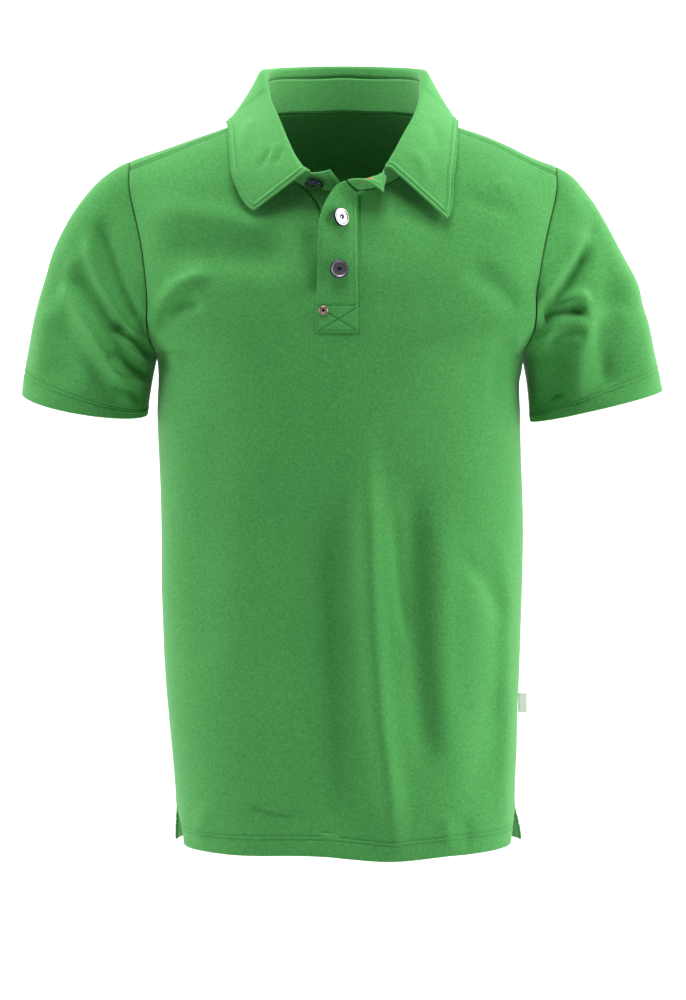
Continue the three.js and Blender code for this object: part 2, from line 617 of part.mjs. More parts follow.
// The top placket lies on the front and rises at its free edge near the neck.
const topPlacketTopZ = neckZAt(topPlacket.cornerX) - 0.8;

function topPlacketPoint(a, z, moved) {
  const left = mix(topPlacket.leftX, topPlacket.leftXAtNeck, smooth((z - topPlacket.footZ) / 140));
  const right = readTable(topPlacketEdge, "z", "x", z);
  const x = mix(right, left, a);
  const lift = topPlacket.lift * smooth((z - topPlacket.liftFromZ) / 80) * (1 - a) ** 1.4;
  return frontSurface(x, z).addScaledVector(outward(x, z), moved + lift);
}

function makeTopPlacket() {
  const columns = steps(0, 1, 6);
  const rows = steps(0, 1, 18);
  const grid = makeGrid(columns, rows, (a, b) =>
    topPlacketPoint(a, mix(topPlacket.footZ, topPlacketTopZ, b), placketLift),
  );
  return clothSolid(grid, gridNormals(grid, 1), () => clothThickness);
}

// The fold over a corner between the seam and the leaf's edge, and how far the corner rises above the fold
function foldCorner(foot, corner, edge) {
  const up = corner.clone().sub(foot);
  const down = edge.clone().sub(corner);
  const half = up.clone().negate().angleTo(down) / 2;
  const reachOver = 1 / Math.sin(half) - 1;
  const radius = Math.min(collarFold, 0.5 * up.length() * Math.tan(half), foldReach / reachOver);
  return { corner, up, down, half, radius, rise: radius * reachOver };
}

// The collar's cross-section at a place along it: up from the seam, over the fold and down to the edge.
function collarSection(at, seamPoint = null) {
  const i = Math.min(Math.floor(at), collarStations.length - 2);
  const t = at - i;
  const row = (j) => collarStations[Math.min(Math.max(j, 0), collarStations.length - 1)];
  const curve = (get) => {
    const [p, q, r, s] = [row(i - 1), row(i), row(i + 1), row(i + 2)].map(get);
    const square = 2 * p - 5 * q + 4 * r - s;
    const cube = 3 * q - p - 3 * r + s;
    return 0.5 * (2 * q + (r - p) * t + square * t * t + cube * t ** 3);
  };
  const angle = curve((r) => r.seam);
  const foot = seamPoint ?? neckPoint(angle);
  const fold = vector([0, 1, 2].map((k) => curve((r) => r.fold[k])));
  const edge = overForm(...[0, 1, 2].map((k) => curve((r) => r.edge[k]))).point;
  const away = fold.clone().sub(foot.clone().lerp(edge, 0.5)).normalize();
  let bent = foldCorner(foot, fold, edge);
  for (let round = 0; round < 6; round++) {
    bent = foldCorner(foot, fold.clone().addScaledVector(away, bent.rise), edge);
  }
  const { corner, up, down, half, radius } = bent;
  const reach = radius / Math.tan(half);
  const upUnit = up.clone().normalize();
  const downUnit = down.clone().normalize();
  const turn = Math.PI - 2 * half;
  const lengths = [up.length() - reach, radius * turn, down.length() - reach];
  const across = downUnit.clone().addScaledVector(upUnit, -downUnit.dot(upUnit)).normalize();
  const start = corner.clone().addScaledVector(upUnit, -reach);
  const place = (w) => {
    if (w <= lengths[0]) return foot.clone().addScaledVector(upUnit, w);
    const bend = Math.min(turn, (w - lengths[0]) / radius);
    const p = start
      .clone()
      .addScaledVector(upUnit, radius * Math.sin(bend))
      .addScaledVector(across, radius * (1 - Math.cos(bend)));
    return p.addScaledVector(downUnit, Math.max(0, w - lengths[0] - lengths[1]));
  };
  const total = lengths[0] + lengths[1] + lengths[2];
  const height = Math.min(curve((r) => r.stand), lengths[0] - 1);
  return { place, foot, angle, fold, up: upUnit, total, lengths, stand: height };
}

// The direction of the mitre between the stand and the body panels along the neck seam
function neckMitre(at) {
  const { foot, angle, up } = collarSection(at);
  const around = neckPoint(angle + 1).sub(neckPoint(angle - 1));
  const { x, tau } = neckRing(angle < -180 ? angle + 360 : angle);
  const own = overForm(x, tau).normal;
  const next = around.cross(up).normalize();
  if (next.dot(new THREE.Vector3(foot.x, foot.y, 60)) < 0) next.negate();
  const half = own.clone().add(next).normalize();
  return half.multiplyScalar(Math.min(1.4, 1 / half.dot(own)));
}

// The place along the collar of a point of the neck seam
function collarPlaceOf(point) {
  const turn = (Math.atan2(point.x, -point.y) * 180) / Math.PI;
  const target = turn > 3 ? turn - 360 : turn;
  let low = 0;
  let high = collarStations.length - 1;
  for (let i = 0; i < 30; i++) {
    const middle = (low + high) / 2;
    const { foot } = collarSection(middle);
    const seen = (Math.atan2(foot.x, -foot.y) * 180) / Math.PI;
    const wrapped = middle > 1 && seen > 0 ? seen - 360 : seen;
    if (wrapped > target) low = middle;
    else high = middle;
  }
  return (low + high) / 2;
}

// The neck seam: the points of the edges that the stand is sewn to, with more between them on the chords
function makeSeamLine() {
  const raised = (point, height) => point.clone().add(new THREE.Vector3(0, 0, height));
  const placketTop = underPlacket.grid.map((points) => raised(points[points.length - 1], standClear.under));
  const across = panelColumns.map((u, i) => i).filter((i) => Math.abs(panelColumns[i]) <= neckShare);
  const top = (panel, i) => panel.grid[i][lastRow];
  const points = [
    ...placketTop.slice(1, 4).reverse(),
    ...across.filter((i) => i <= slotLow).reverse().map((i) => top(front, i)),
    ...across.slice(1, -1).map((i) => top(back, i)),
    ...across.filter((i) => i > slotHigh).reverse().map((i) => top(front, i)),
    ...[1, 0.6, 0.3, 0].map((a) => raised(topPlacketPoint(a, topPlacketTopZ, placketLift), standClear.top)),
  ];
  const end = collarStations.length - 1;
  const turned = (k) => (k - (points.length - 5)) / 4;
  const places = points.map((point, k) => {
    return turned(k) > 0 ? mix(leafLast, end, turned(k)) : collarPlaceOf(point);
  });
  places[0] = 0;
  places[points.length - 5] = leafLast;
  const line = [];
  for (let k = 0; k < points.length - 1; k++) {
    const count = Math.max(1, Math.round(points[k].distanceTo(points[k + 1]) / 8));
    const [from, to] = [neckMitre(places[k]), neckMitre(places[k + 1])];
    for (let n = 0; n < count || (n === count && k === points.length - 2); n++) {
      const t = n / count;
      line.push({
        profile: collarSection(mix(places[k], places[k + 1], t), points[k].clone().lerp(points[k + 1], t)),
        at: mix(places[k], places[k + 1], t),
        mitre: from.clone().lerp(to, t),
      });
    }
  }
  return line;
}

function makeStand(line) {
  const shares = [standFoot, 0.25, 0.5, 0.75, 1];
  const turned = (at) => clamp(3 * (at - leafLast));
  const grid = makeGrid(line, shares, ({ profile, at }, w) => {
    const { foot, fold, stand: height } = profile;
    const upright = profile.place(height * w);
    const bowed = foot.clone().lerp(fold, w).addScaledVector(vector(turnedEnd), Math.sin(Math.PI * w));
    return upright.lerp(bowed, turned(at));
  });
  const normals = gridNormals(grid, -1);
  normals.forEach((column, i) => column[0].copy(line[i].mitre));
  return { grid, normals };
}

function makeLeaf(line) {
  const rows = [0, 1, 2, 3, 4, 5, 6, 7];
  const wayAlong = ({ stand: start, lengths, total }, row) => {
    if (row === 0) return start + seamGap;
    if (row < 5) return lengths[0] + (lengths[1] * (row - 1)) / 3;
    return mix(lengths[0] + lengths[1], total, [0.28, 0.62, 1][row - 5]);
  };
  const covered = line.filter(({ at }) => at >= leafFirst && at <= leafLast);
  const grid = makeGrid(covered, rows, ({ profile }, row) => profile.place(wayAlong(profile, row)));
  return { grid, normals: gridNormals(grid, -1) };
}

const underPlacket = makeUnderPlacket();
const seamLine = makeSeamLine();
const stand = makeStand(seamLine);
const leaf = makeLeaf(seamLine);
const collarWall = () => collarThickness;

// A metal tack button: its shank stands on the cloth and its cap is dished round a small boss.
function buttonGeometry() {
  const { cap, shank, shankRadius, dish, boss } = button;
  const top = shank + cap;
  const profile = [
    [0, 0],
    [shankRadius, 0],
    [shankRadius, shank],
    [buttonRadius - 0.6, shank],
    [buttonRadius, shank + 0.6],
    [buttonRadius, top - 0.5],
    [buttonRadius - 0.6, top],
    [buttonRadius - 1.8, top],
    [buttonRadius - 2.4, top - dish],
    [boss, top - dish],
    [boss - 0.5, top],
    [1.1, top],
    [0.9, top - 0.9],
    [0, top - 0.9],
  ];
  return new THREE.LatheGeometry(profile.map(([r, z]) => new THREE.Vector2(r, z)), 24).rotateX(Math.PI / 2);
}

function rivetGeometry() {
  const { radius, height, hole } = rivet;
  const profile = [
    [0, 0],
    [radius - 0.3, 0],
    [radius, 0.5],
    [radius - 0.9, height],
    [hole + 0.7, height],
    [hole, height - 0.5],
    [hole, 0.7],
    [0, 0.7],
  ];
  return new THREE.LatheGeometry(profile.map(([r, z]) => new THREE.Vector2(r, z)), 24).rotateX(Math.PI / 2);
}

// The woven label, folded in half and caught in the side seam
function labelGeometry() {
  const { height, reach, thickness } = sideLabel;
  const outline = new THREE.Shape();
  outline.moveTo(0, -thickness / 2).lineTo(reach - thickness / 2, -thickness / 2);
  outline.absarc(reach - thickness / 2, 0, thickness / 2, -Math.PI / 2, Math.PI / 2, false);
  outline.lineTo(0, thickness / 2);
  return new THREE.ExtrudeGeometry(outline, { depth: height, bevelEnabled: false, curveSegments: 6 });
}

const cloth = new THREE.MeshStandardMaterial({ color: 0x4f9a50, roughness: 0.92, metalness: 0 });
const collarCloth = new THREE.MeshStandardMaterial({ color: 0x56a356, roughness: 0.92, metalness: 0 });
const pewter = new THREE.MeshStandardMaterial({ color: 0x8f8b8c, roughness: 0.35, metalness: 0.9 });
const copper = new THREE.MeshStandardMaterial({ color: 0x8a6f66, roughness: 0.4, metalness: 0.9 });
const tape = new THREE.MeshStandardMaterial({ color: 0xf2f2f0, roughness: 0.8, metalness: 0 });

const shirt = new THREE.Group();
function addPiece(name, geometry, material, place = () => {}) {
  const mesh = new THREE.Mesh(geometry, material);
  mesh.name = name;
  place(mesh);
  shirt.add(mesh);
  return mesh;
}

// Stands a button or rivet on the cloth: its axis follows the direction given.
function standOn(point, direction, gap) {
  return (mesh) => {
    mesh.quaternion.setFromUnitVectors(new THREE.Vector3(0, 0, 1), direction);
    mesh.position.copy(point).addScaledVector(direction, gap);
  };
}

function onTopPlacket(x, z) {
  const right = readTable(topPlacketEdge, "z", "x", z);
  const left = mix(topPlacket.leftX, topPlacket.leftXAtNeck, smooth((z - topPlacket.footZ) / 140));
  const share = (x - right) / (left - right);
  const at = (dx, dz) => topPlacketPoint(share + dx, z + dz, placketLift);
  const across = at(0.1, 0).sub(at(-0.1, 0));
  const along = at(0, 2).sub(at(0, -2));
  return { point: at(0, 0), direction: across.cross(along).normalize() };
}

addPiece("front", frontGeometry, cloth);
addPiece("back", backGeometry, cloth);
addPiece("sleeve_left", sleeveLeft, cloth);
addPiece("sleeve_right", sleeveRight, cloth);
addPiece("placket_under", clothSolid(underPlacket.grid, underPlacket.normals, () => clothThickness), cloth);
addPiece("placket_top", makeTopPlacket(), cloth);
addPiece("collar_stand", clothSolid(stand.grid, stand.normals, collarWall), collarCloth);
addPiece("collar_leaf", clothSolid(leaf.grid, leaf.normals, collarWall), collarCloth);
for (const { name, x, z, tilt } of placketButtons) {
  const { point, direction } = onTopPlacket(x, z);
  const out = direction.add(vector(tilt)).normalize();
  addPiece(name, buttonGeometry(), pewter, standOn(point, out, button.seat));
}
const standColumn = seamLine.findIndex(({ at }) => at >= standButton.at);
const standRow = Math.round(standButton.share * 4);
const standOut = stand.normals[standColumn][standRow].clone().add(vector(standButton.tilt)).normalize();
const standPlace = standOn(stand.grid[standColumn][standRow], standOut, button.seat);
addPiece("button_stand", buttonGeometry(), pewter, standPlace);
const rivetPlace = onTopPlacket(rivet.x, rivet.z);
addPiece("rivet", rivetGeometry(), copper, standOn(rivetPlace.point, rivetPlace.direction, rivet.seat));

addPiece("side_label", labelGeometry(), tape, (mesh) => {
  const edgeX = (z) => section("shift", z) + section("half", z);
  const low = sideLabel.topZ - sideLabel.height;
  mesh.position.set(Math.max(edgeX(low), edgeX(sideLabel.topZ)) + sideLabel.gap, 0, low);
});

export default shirt;
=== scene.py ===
import bisect
import math
import bmesh
import bpy
from mathutils import Matrix, Vector, noise


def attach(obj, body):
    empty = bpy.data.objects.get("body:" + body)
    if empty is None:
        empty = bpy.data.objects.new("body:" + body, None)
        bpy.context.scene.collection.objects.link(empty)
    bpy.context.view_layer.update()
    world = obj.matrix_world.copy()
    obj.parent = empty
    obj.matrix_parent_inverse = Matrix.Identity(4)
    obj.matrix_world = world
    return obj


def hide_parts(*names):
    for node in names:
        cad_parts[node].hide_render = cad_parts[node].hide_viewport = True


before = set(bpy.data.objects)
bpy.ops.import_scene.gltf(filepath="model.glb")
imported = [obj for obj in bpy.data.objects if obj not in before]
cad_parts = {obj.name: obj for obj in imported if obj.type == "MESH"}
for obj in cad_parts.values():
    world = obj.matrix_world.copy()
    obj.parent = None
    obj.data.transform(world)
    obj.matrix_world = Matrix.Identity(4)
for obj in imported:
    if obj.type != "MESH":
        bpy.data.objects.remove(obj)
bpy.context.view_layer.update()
print("frame loaded:", len(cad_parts), "nodes")

# Shapes are worked out in millimetres, with the wearer's left at +X and the front at -Y,
# and meshes are made in metres.
metre = 0.001

cameraView = {"height": -0.388, "distance": 2.5, "lens": 90.0, "sensor": 36.0}


def makeCamera():
    data = bpy.data.cameras.new("camera")
    data.lens = cameraView["lens"]
    data.sensor_width = cameraView["sensor"]
    made = bpy.data.objects.new("camera", data)
    made.location = (0, -cameraView["distance"], cameraView["height"])
    made.rotation_euler = (math.radians(90), 0, 0)
    bpy.context.scene.collection.objects.link(made)
    bpy.context.scene.camera = made


def clamp(t):
    return min(1.0, max(0.0, t))


def mix(a, b, t):
    return a + (b - a) * t


def smooth(t):
    t = clamp(t)
    return t * t * (3 - 2 * t)


def bump(off, width):
    return math.exp(-((off / width) ** 2))


def steps(low, high, count):
    return [mix(low, high, i / count) for i in range(count + 1)]


# A smooth curve through a table's rows, from the key column to another
def curveThrough(rows, key, column):
    keys = [row[key] for row in rows]
    values = [row[column] for row in rows]
    last = len(rows) - 1
    slopes = []
    for j in range(last + 1):
        low, high = max(j - 1, 0), min(j + 1, last)
        slopes.append((values[high] - values[low]) / (keys[high] - keys[low]))

    def at(place):
        i = min(max(bisect.bisect_left(keys, place) - 1, 0), last - 1)
        span = keys[i + 1] - keys[i]
        t = clamp((place - keys[i]) / span)
        t2, t3 = t * t, t * t * t
        ends = (2 * t3 - 3 * t2 + 1) * values[i] + (3 * t2 - 2 * t3) * values[i + 1]
        return ends + span * ((t3 - 2 * t2 + t) * slopes[i] + (t3 - t2) * slopes[i + 1])

    return at


def table(columns, *rows):
    return [dict(zip(columns.split(), row)) for row in rows]


# The worn form: sections of the body, the roll over the shoulders and the ring of the neck
worn = {
    "sectionPower": 2.2,
    "underarmZ": -245,
    "hemZ": {"frontCentre": -732, "frontSide": -727, "back": -727},
    "ventTopZ": -684,
    "ventOpening": {"front": 0.1, "back": 0.0},
    "ventFlare": {"front": (-9, -3), "back": (3, 8)},
    "hemWaves": ((45, 36, 3), (-42, 44, -3)),
    "neckHalf": 79,
    "shoulderHalf": 212,
    "ridgeAtNeckZ": -3,
    "shoulderSlope": 0.348,
    "ridgeRounding": 12,
    "ridgeRoll": 70,
    "napeRise": 14,
    "tilt": {"fromX": 140, "toX": 200, "drop": 5},
    "seamForward": (27, 36),
    "armholeShare": 0.54,
    "armholeRise": 55,
    "frontNeckDrop": 89,
    "neckSquareness": 0.6,
    "backNeckDepth": 60,
    "neckShare": 0.48,
    "centreScale": 250,
    "seamGap": 0.3,
}
bodySections = table(
    "z half shift front back",
    (-800, 166, 3, 111, 108),
    (-732, 168, 3, 112, 109),
    (-668, 170, 2, 113, 110),
    (-600, 174, 0, 114, 110),
    (-520, 178.5, -1, 115, 106),
    (-400, 180.5, -1, 118, 103),
    (-310, 181, -4, 121, 105),
    (-245, 183, -3, 122, 108),
    (-225, 203, 0, 122, 109),
    (-205, 215, 0, 121, 110),
    (-170, 219, 0, 118, 111),
    (-125, 220, 0, 106, 110),
    (-95, 225, 0, 94, 106),
    (-57, 241, 0, 79, 97),
    (0, 255, 0, 63, 81),
    (40, 260, 0, 58, 70),
)
halfAt, shiftAt, frontAt, backAt = (
    curveThrough(bodySections, "z", column) for column in ("half", "shift", "front", "back")
)


def depthShare(x, z):
    across = min(1.0, abs(x - shiftAt(z)) / halfAt(z))
    return (1 - across ** worn["sectionPower"]) ** (1 / worn["sectionPower"])


def ridgeZ(x):
    out = math.hypot(x, worn["ridgeRounding"])
    nape = worn["napeRise"] * max(0, 1 - abs(x / worn["neckHalf"]) ** 3)
    tilt = worn["tilt"]
    drop = tilt["drop"] * smooth((x - tilt["fromX"]) / (tilt["toX"] - tilt["fromX"]))
    return worn["ridgeAtNeckZ"] + worn["shoulderSlope"] * (worn["neckHalf"] - out) + nape - drop


quarterRoll = worn["ridgeRoll"] * math.pi / 2


# Over the shoulder: tau is the length along the cloth from the ridge, negative past it
def rollOver(tau):
    roll = worn["ridgeRoll"]
    if abs(tau) > quarterRoll:
        return roll + abs(tau) - quarterRoll, math.copysign(1, tau)
    return roll * (1 - math.cos(tau / roll)), math.sin(tau / roll)


def tauOfDrop(drop):
    roll = worn["ridgeRoll"]
    if drop > roll:
        return quarterRoll + drop - roll
    return roll * math.acos(1 - max(0, drop) / roll)


def formPoint(side, x, z, lean=1.0):
    direction = (-1 if side == "front" else 1) * (-1 if lean < 0 else 1)
    depth = (frontAt(z) if direction < 0 else backAt(z)) * depthShare(x, z)
    return Vector((x, direction * abs(lean) * depth, z))


def overForm(x, tau, lift=0.0):
    def place(px, pt):
        drop, lean = rollOver(pt)
        return formPoint("front", px, ridgeZ(px) - drop, lean)

    across = place(x + 1, tau) - place(x - 1, tau)
    along = place(x, tau - 1) - place(x, tau + 1)
    normal = across.cross(along).normalized()
    return place(x, tau) + normal * lift, normal


# The neck ring, in degrees from the centre front
def neckRing(angle):
    a = math.radians(abs(angle))
    x = worn["neckHalf"] * math.sin(a) * (-1 if angle < 0 else 1)
    if a <= math.pi / 2:
        z = worn["ridgeAtNeckZ"] - worn["frontNeckDrop"] * math.cos(a) ** worn["neckSquareness"]
        return x, tauOfDrop(ridgeZ(x) - z)
    guess = ridgeZ(x) - 20
    lean = min(1, -worn["backNeckDepth"] * math.cos(a) / (backAt(guess) * depthShare(x, guess)))
    return x, -worn["ridgeRoll"] * math.asin(lean)


def neckZAt(x):
    share = 1 - min(1, (x / worn["neckHalf"]) ** 2)
    return worn["ridgeAtNeckZ"] - worn["frontNeckDrop"] * share ** (worn["neckSquareness"] / 2)


def neckPoint(angle):
    x, tau = neckRing(angle + 360 if angle < -180 else angle)
    return overForm(x, tau)[0]


def seamTau(x):
    share = (abs(x) - worn["neckHalf"]) / (worn["shoulderHalf"] - worn["neckHalf"])
    return mix(*worn["seamForward"], share)


def findSeamAngle():
    low, high = 60.0, 90.0
    for _ in range(40):
        middle = (low + high) / 2
        if neckRing(middle)[1] > seamTau(worn["neckHalf"]):
            low = middle
        else:
            high = middle
    return low


seamAngle = findSeamAngle()

# Folds, from (x0, z0) to (x1, z1): bowed sideways, and raised or, with a negative depth, sunk.
# The first table holds the large ones, which the solids have too.
largeFolds = table(
    "panel x0 z0 x1 z1 bow width depth",
    ("front", 24, -335, 52, -728, 7, 12, 11),
    ("front", -8, -395, 2, -715, 0, 25, -10),
    ("front", 66, -370, 80, -650, 4, 14, -7),
    ("front", 98, -380, 104, -640, 6, 14, 3),
    ("front", 150, -420, 128, -690, -12, 18, -7),
    ("front", 165, -560, 160, -715, 0, 9, 4),
    ("front", -184, -205, -128, -168, -4, 8, 5),
    ("front", -182, -222, -136, -196, -5, 8, -7),
    ("front", -185, -105, -70, -128, -4, 13, 5),
    ("front", -180, -146, -50, -158, 0, 18, -7),
    ("front", 170, -205, 120, -165, 4, 12, -4),
    ("back", -40, -300, -66, -715, 8, 16, 8),
    ("back", 30, -330, 44, -715, -6, 18, 8),
    ("back", -4, -330, -10, -690, 0, 22, -8),
    ("back", 96, -360, 104, -690, 5, 20, -7),
    ("back", -112, -350, -118, -690, -5, 20, -7),
    ("back", -180, -215, -110, -165, 6, 11, -6),
    ("back", 180, -215, 112, -168, -6, 11, -6),
    ("sleeve", 190, -212, 244, -138, 4, 8, -11),
    ("sleeve", 184, -196, 238, -124, 4, 9, 4),
    ("sleeve", 190, -220, 238, -204, -8, 6.5, -10),
    ("sleeve", 198, -204, 244, -190, -6, 7, 5),
    ("sleeve", 198, -232, 214, -304, 0, 15, -8),
    ("sleeve", 242, -200, 228, -296, 4, 12, 5),
    ("sleeve", 264, -170, 256, -285, 0, 13, -5),
    ("sleeve", 284, -150, 298, -275, 0, 15, 4),
    ("sleeve", 232, -70, 262, -150, -4, 14, -4),
    ("sleeve", -190, -226, -240, -114, -8, 9, -9),
    ("sleeve", -198, -236, -252, -124, -8, 8, 6),
    ("sleeve", -212, -240, -268, -162, 4, 12, -8),
    ("sleeve", -208, -296, -278, -176, 7, 9, 7),
    ("sleeve", -190, -246, -226, -214, 2, 5.5, -7),
    ("sleeve", -284, -150, -270, -280, 0, 18, -5),
)
smallFolds = table(
    "panel x0 z0 x1 z1 bow width depth",
    ("front", 49, -398, 62, -520, 2, 5, -3.2),
    ("front", 20, -420, 34, -640, 4, 8, 1.6),
    ("front", 112, -440, 157, -512, -8, 9, -2.4),
    ("front", 157, -505, 152, -600, -5, 7, 2.0),
    ("front", 146, -420, 160, -520, -5, 10, 2.6),
    ("front", -94, -673, -46, -684, 2, 3.2, 1.6),
    ("front", -96, -679, -40, -692, 2, 3.4, -1.8),
    ("front", -86, -690, -54, -696, 1, 3.0, 1.0),
    ("front", -116, -606, -42, -610, 2, 3.5, 0.9),
    ("front", -172, -182, -140, -172, 0, 5, 1.8),
    ("front", -180, -206, -150, -196, 2, 4, -2.0),
    ("front", -178, -240, -168, -262, 2, 5, -2.2),
    ("front", 168, -226, 172, -268, -3, 6, 2.0),
    ("front", 158, -222, 150, -300, 4, 8, -1.6),
    ("front", -32, -128, -25, -196, -4, 8, -3.2),
    ("front", -48, -118, -40, -190, -3, 9, 1.4),
    ("front", 44, -112, 90, -126, -3, 8, -1.6),
    ("front", 146, -84, 164, -78, 1, 5, 1.2),
    ("front", 120, -96, 168, -108, 2, 8, -1.2),
    ("front", -120, -300, -134, -560, 6, 22, -2.6),
    ("front", 98, -690, 102, -726, 0, 7, 1.8),
    ("front", 118, -694, 120, -726, 0, 6, -1.6),
    ("front", -10, -690, -14, -728, 0, 9, 1.4),
    ("front", -128, -684, -140, -724, 3, 8, 1.8),
    ("back", -150, -240, -90, -330, 8, 11, -2.4),
    ("back", 150, -240, 92, -330, -8, 11, -2.4),
    ("back", -96, -60, -30, -104, 6, 13, -2.0),
    ("back", 96, -60, 30, -104, -6, 13, -2.0),
    ("back", -60, -150, 60, -158, 6, 12, -1.4),
    ("back", -140, -500, -60, -560, 8, 14, 1.8),
    ("back", 136, -520, 70, -575, -8, 14, 1.8),
    ("back", 20, -640, 66, -655, 2, 5, 1.2),
    ("sleeve", 200, -232, 236, -226, -3, 5, -3.0),
    ("sleeve", 214, -180, 252, -112, 3, 5, -2.0),
    ("sleeve", 226, -232, 282, -204, -4, 10, 2.6),
    ("sleeve", 250, -120, 286, -196, -6, 11, 2.2),
    ("sleeve", 250, -208, 262, -276, 3, 8, -2.0),
    ("sleeve", 298, -200, 306, -276, 2, 9, 2.0),
    ("sleeve", -194, -250, -228, -226, 2, 4, 4.6),
    ("sleeve", -194, -264, -228, -244, 2, 4.4, -4.4),
    ("sleeve", -196, -274, -232, -258, 2, 4.6, 3.2),
    ("sleeve", -200, -290, -226, -274, 2, 5, -2.8),
    ("sleeve", -232, -280, -282, -218, 5, 7, -2.4),
    ("sleeve", -262, -140, -292, -216, -4, 10, 2.6),
    ("sleeve", -296, -196, -306, -276, -2, 9, 1.8),
    ("leaf", -53, -44, -64, -66, 1, 2.6, 2.2),
    ("leaf", -60, -42, -70, -62, 1, 2.4, -1.7),
    ("leaf", -67, -50, -80, -70, 1, 3.4, 1.8),
    ("leaf", -86, -14, -98, -48, 3, 6, -1.5),
    ("leaf", 66, -50, 82, -88, -3, 6, -1.5),
    ("leaf", 84, -16, 92, -50, -2, 7, 1.4),
)


def prepareFold(row):
    dx, dz = row["x1"] - row["x0"], row["z1"] - row["z0"]
    length = math.hypot(dx, dz)
    return row["x0"], row["z0"], dx / length, dz / length, length, row["bow"], row["width"], row["depth"]


def foldsOf(rows, panel):
    return [prepareFold(row) for row in rows if row["panel"] == panel]


large = {panel: foldsOf(largeFolds, panel) for panel in ("front", "back", "sleeve")}
small = {panel: foldsOf(smallFolds, panel) for panel in ("front", "back", "sleeve", "leaf")}


def foldDepth(folds, x, z):
    total = 0.0
    for x0, z0, dx, dz, length, bow, width, depth in folds:
        t = ((x - x0) * dx + (z - z0) * dz) / length
        off = (x - x0) * dz - (z - z0) * dx - bow * 4 * t * (1 - t)
        if -0.1 < t < 1.1 and abs(off) < 3 * width:
            total += depth * smooth(t / 0.3 + 0.25) * smooth((1 - t) / 0.25 + 0.25) * bump(off, width)
    return total


# Cloth is never quite even: slow swells and a light cockle
unevenness = {"swell": (55.0, 0.8), "cockle": (17.0, 0.16)}


def uneven(point):
    total = 0.0
    for length, depth in unevenness.values():
        total += depth * noise.noise(point / length)
    return total


def gridNormals(grid, out=1, closed=False):
    count = len(grid)
    last = count - 1
    normals = []
    for i, points in enumerate(grid):
        # a closed grid's last column lies on its first
        before = grid[(i - 1) % last if closed else max(i - 1, 0)]
        after = grid[(i + 1) % last if closed else min(i + 1, last)]
        top = len(points) - 1
        column = []
        for j in range(top + 1):
            across = after[j] - before[j]
            along = points[min(j + 1, top)] - points[max(j - 1, 0)]
            column.append(across.cross(along).normalized() * out)
        normals.append(column)
    return normals


# Spaces a grid's columns along each of its rows: at fixed lengths from both ends and evenly between them
def respaceRows(grid, near, count):
    made = [[] for _ in range(2 * len(near) + count - 1)]
    for j in range(len(grid[0])):
        line = [points[j] for points in grid]
        lengths = [0.0]
        for a, b in zip(line, line[1:]):
            lengths.append(lengths[-1] + (b - a).length)
        total = lengths[-1]
        between = steps(near[-1], total - near[-1], count)[1:-1]
        places = list(near) + between + [total - length for length in reversed(near)]
        for i, place in enumerate(places):
            k = min(max(bisect.bisect_right(lengths, place) - 1, 0), len(line) - 2)
            share = (place - lengths[k]) / (lengths[k + 1] - lengths[k])
            made[i].append(line[k].lerp(line[k + 1], share))
    return made


# Moves each point of a grid along its normal by the length that detail gives
def raiseGrid(grid, normals, detail):
    raised = []
    for i, points in enumerate(grid):
        raised.append([p + normals[i][j] * detail(i, j, p) for j, p in enumerate(points)])
    return raised


# A turned hem: the cloth goes on past its first row, round a bend and back up inside
turned = {"radius": 1.3, "bendSteps": 6}


def turnUnder(grid, normals, depth):
    radius = turned["radius"]
    bend = [math.pi * radius * k / turned["bendSteps"] for k in range(1, turned["bendSteps"] + 1)]
    lengths = bend + [bend[-1] + depth * share for share in (0.25, 0.5, 0.75, 1)]
    made = []
    for i, points in enumerate(grid):
        down = (points[0] - points[2]).normalized()
        extra = []
        for length in lengths:
            angle = min(length / radius, math.pi)
            around = down * (radius * math.sin(angle)) - normals[i][0] * (radius * (1 - math.cos(angle)))
            extra.append(points[0] + around - down * max(0, length - math.pi * radius))
        made.append(extra[::-1] + points)
    return made, [-length for length in reversed(lengths)]


def addObject(name, mesh):
    made = bpy.data.objects.new(name, mesh)
    bpy.context.scene.collection.objects.link(made)
    return made


# A cloth piece from its grid of points. flats are the places of the same points on the flat cloth,
# which the knit follows, and gone says which cells are cut away.
def makeCloth(name, grid, flats, thickness, out=1, closed=False, gone=None):
    columns, rows = len(grid) - 1, len(grid[0]) - 1
    bm = bmesh.new()
    bmesh.ops.create_grid(bm, x_segments=columns, y_segments=rows, size=1)
    reach = max(vert.co.x for vert in bm.verts)
    weave = bm.loops.layers.uv.new("weave")
    spots = {}
    for vert in bm.verts:
        i = round((vert.co.x / reach + 1) / 2 * columns)
        j = round((vert.co.y / reach + 1) / 2 * rows)
        spots[vert] = (i, j)
    for face in bm.faces:
        for loop in face.loops:
            i, j = spots[loop.vert]
            loop[weave].uv = (flats[0][i] * metre, flats[1][j] * metre)
    if gone:
        cut = [face for face in bm.faces if gone(*map(min, zip(*(spots[vert] for vert in face.verts))))]
        bmesh.ops.delete(bm, geom=cut, context="FACES")
    for vert in bm.verts:
        i, j = spots[vert]
        vert.co = grid[i][j] * metre
    if closed:
        bmesh.ops.remove_doubles(bm, verts=bm.verts, dist=1e-6)
    if out < 0:
        bmesh.ops.reverse_faces(bm, faces=bm.faces)
    for face in bm.faces:
        face.smooth = True
    mesh = bpy.data.meshes.new(name)
    bm.to_mesh(mesh)
    bm.free()
    made = addObject(name, mesh)
    wall = made.modifiers.new("wall", "SOLIDIFY")
    wall.thickness = thickness * metre
    wall.offset = -1
    return made


def finishPiece(piece, node, material):
    piece.data.materials.append(material)
    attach(piece, "root")
    if node:
        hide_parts(node)
    return piece


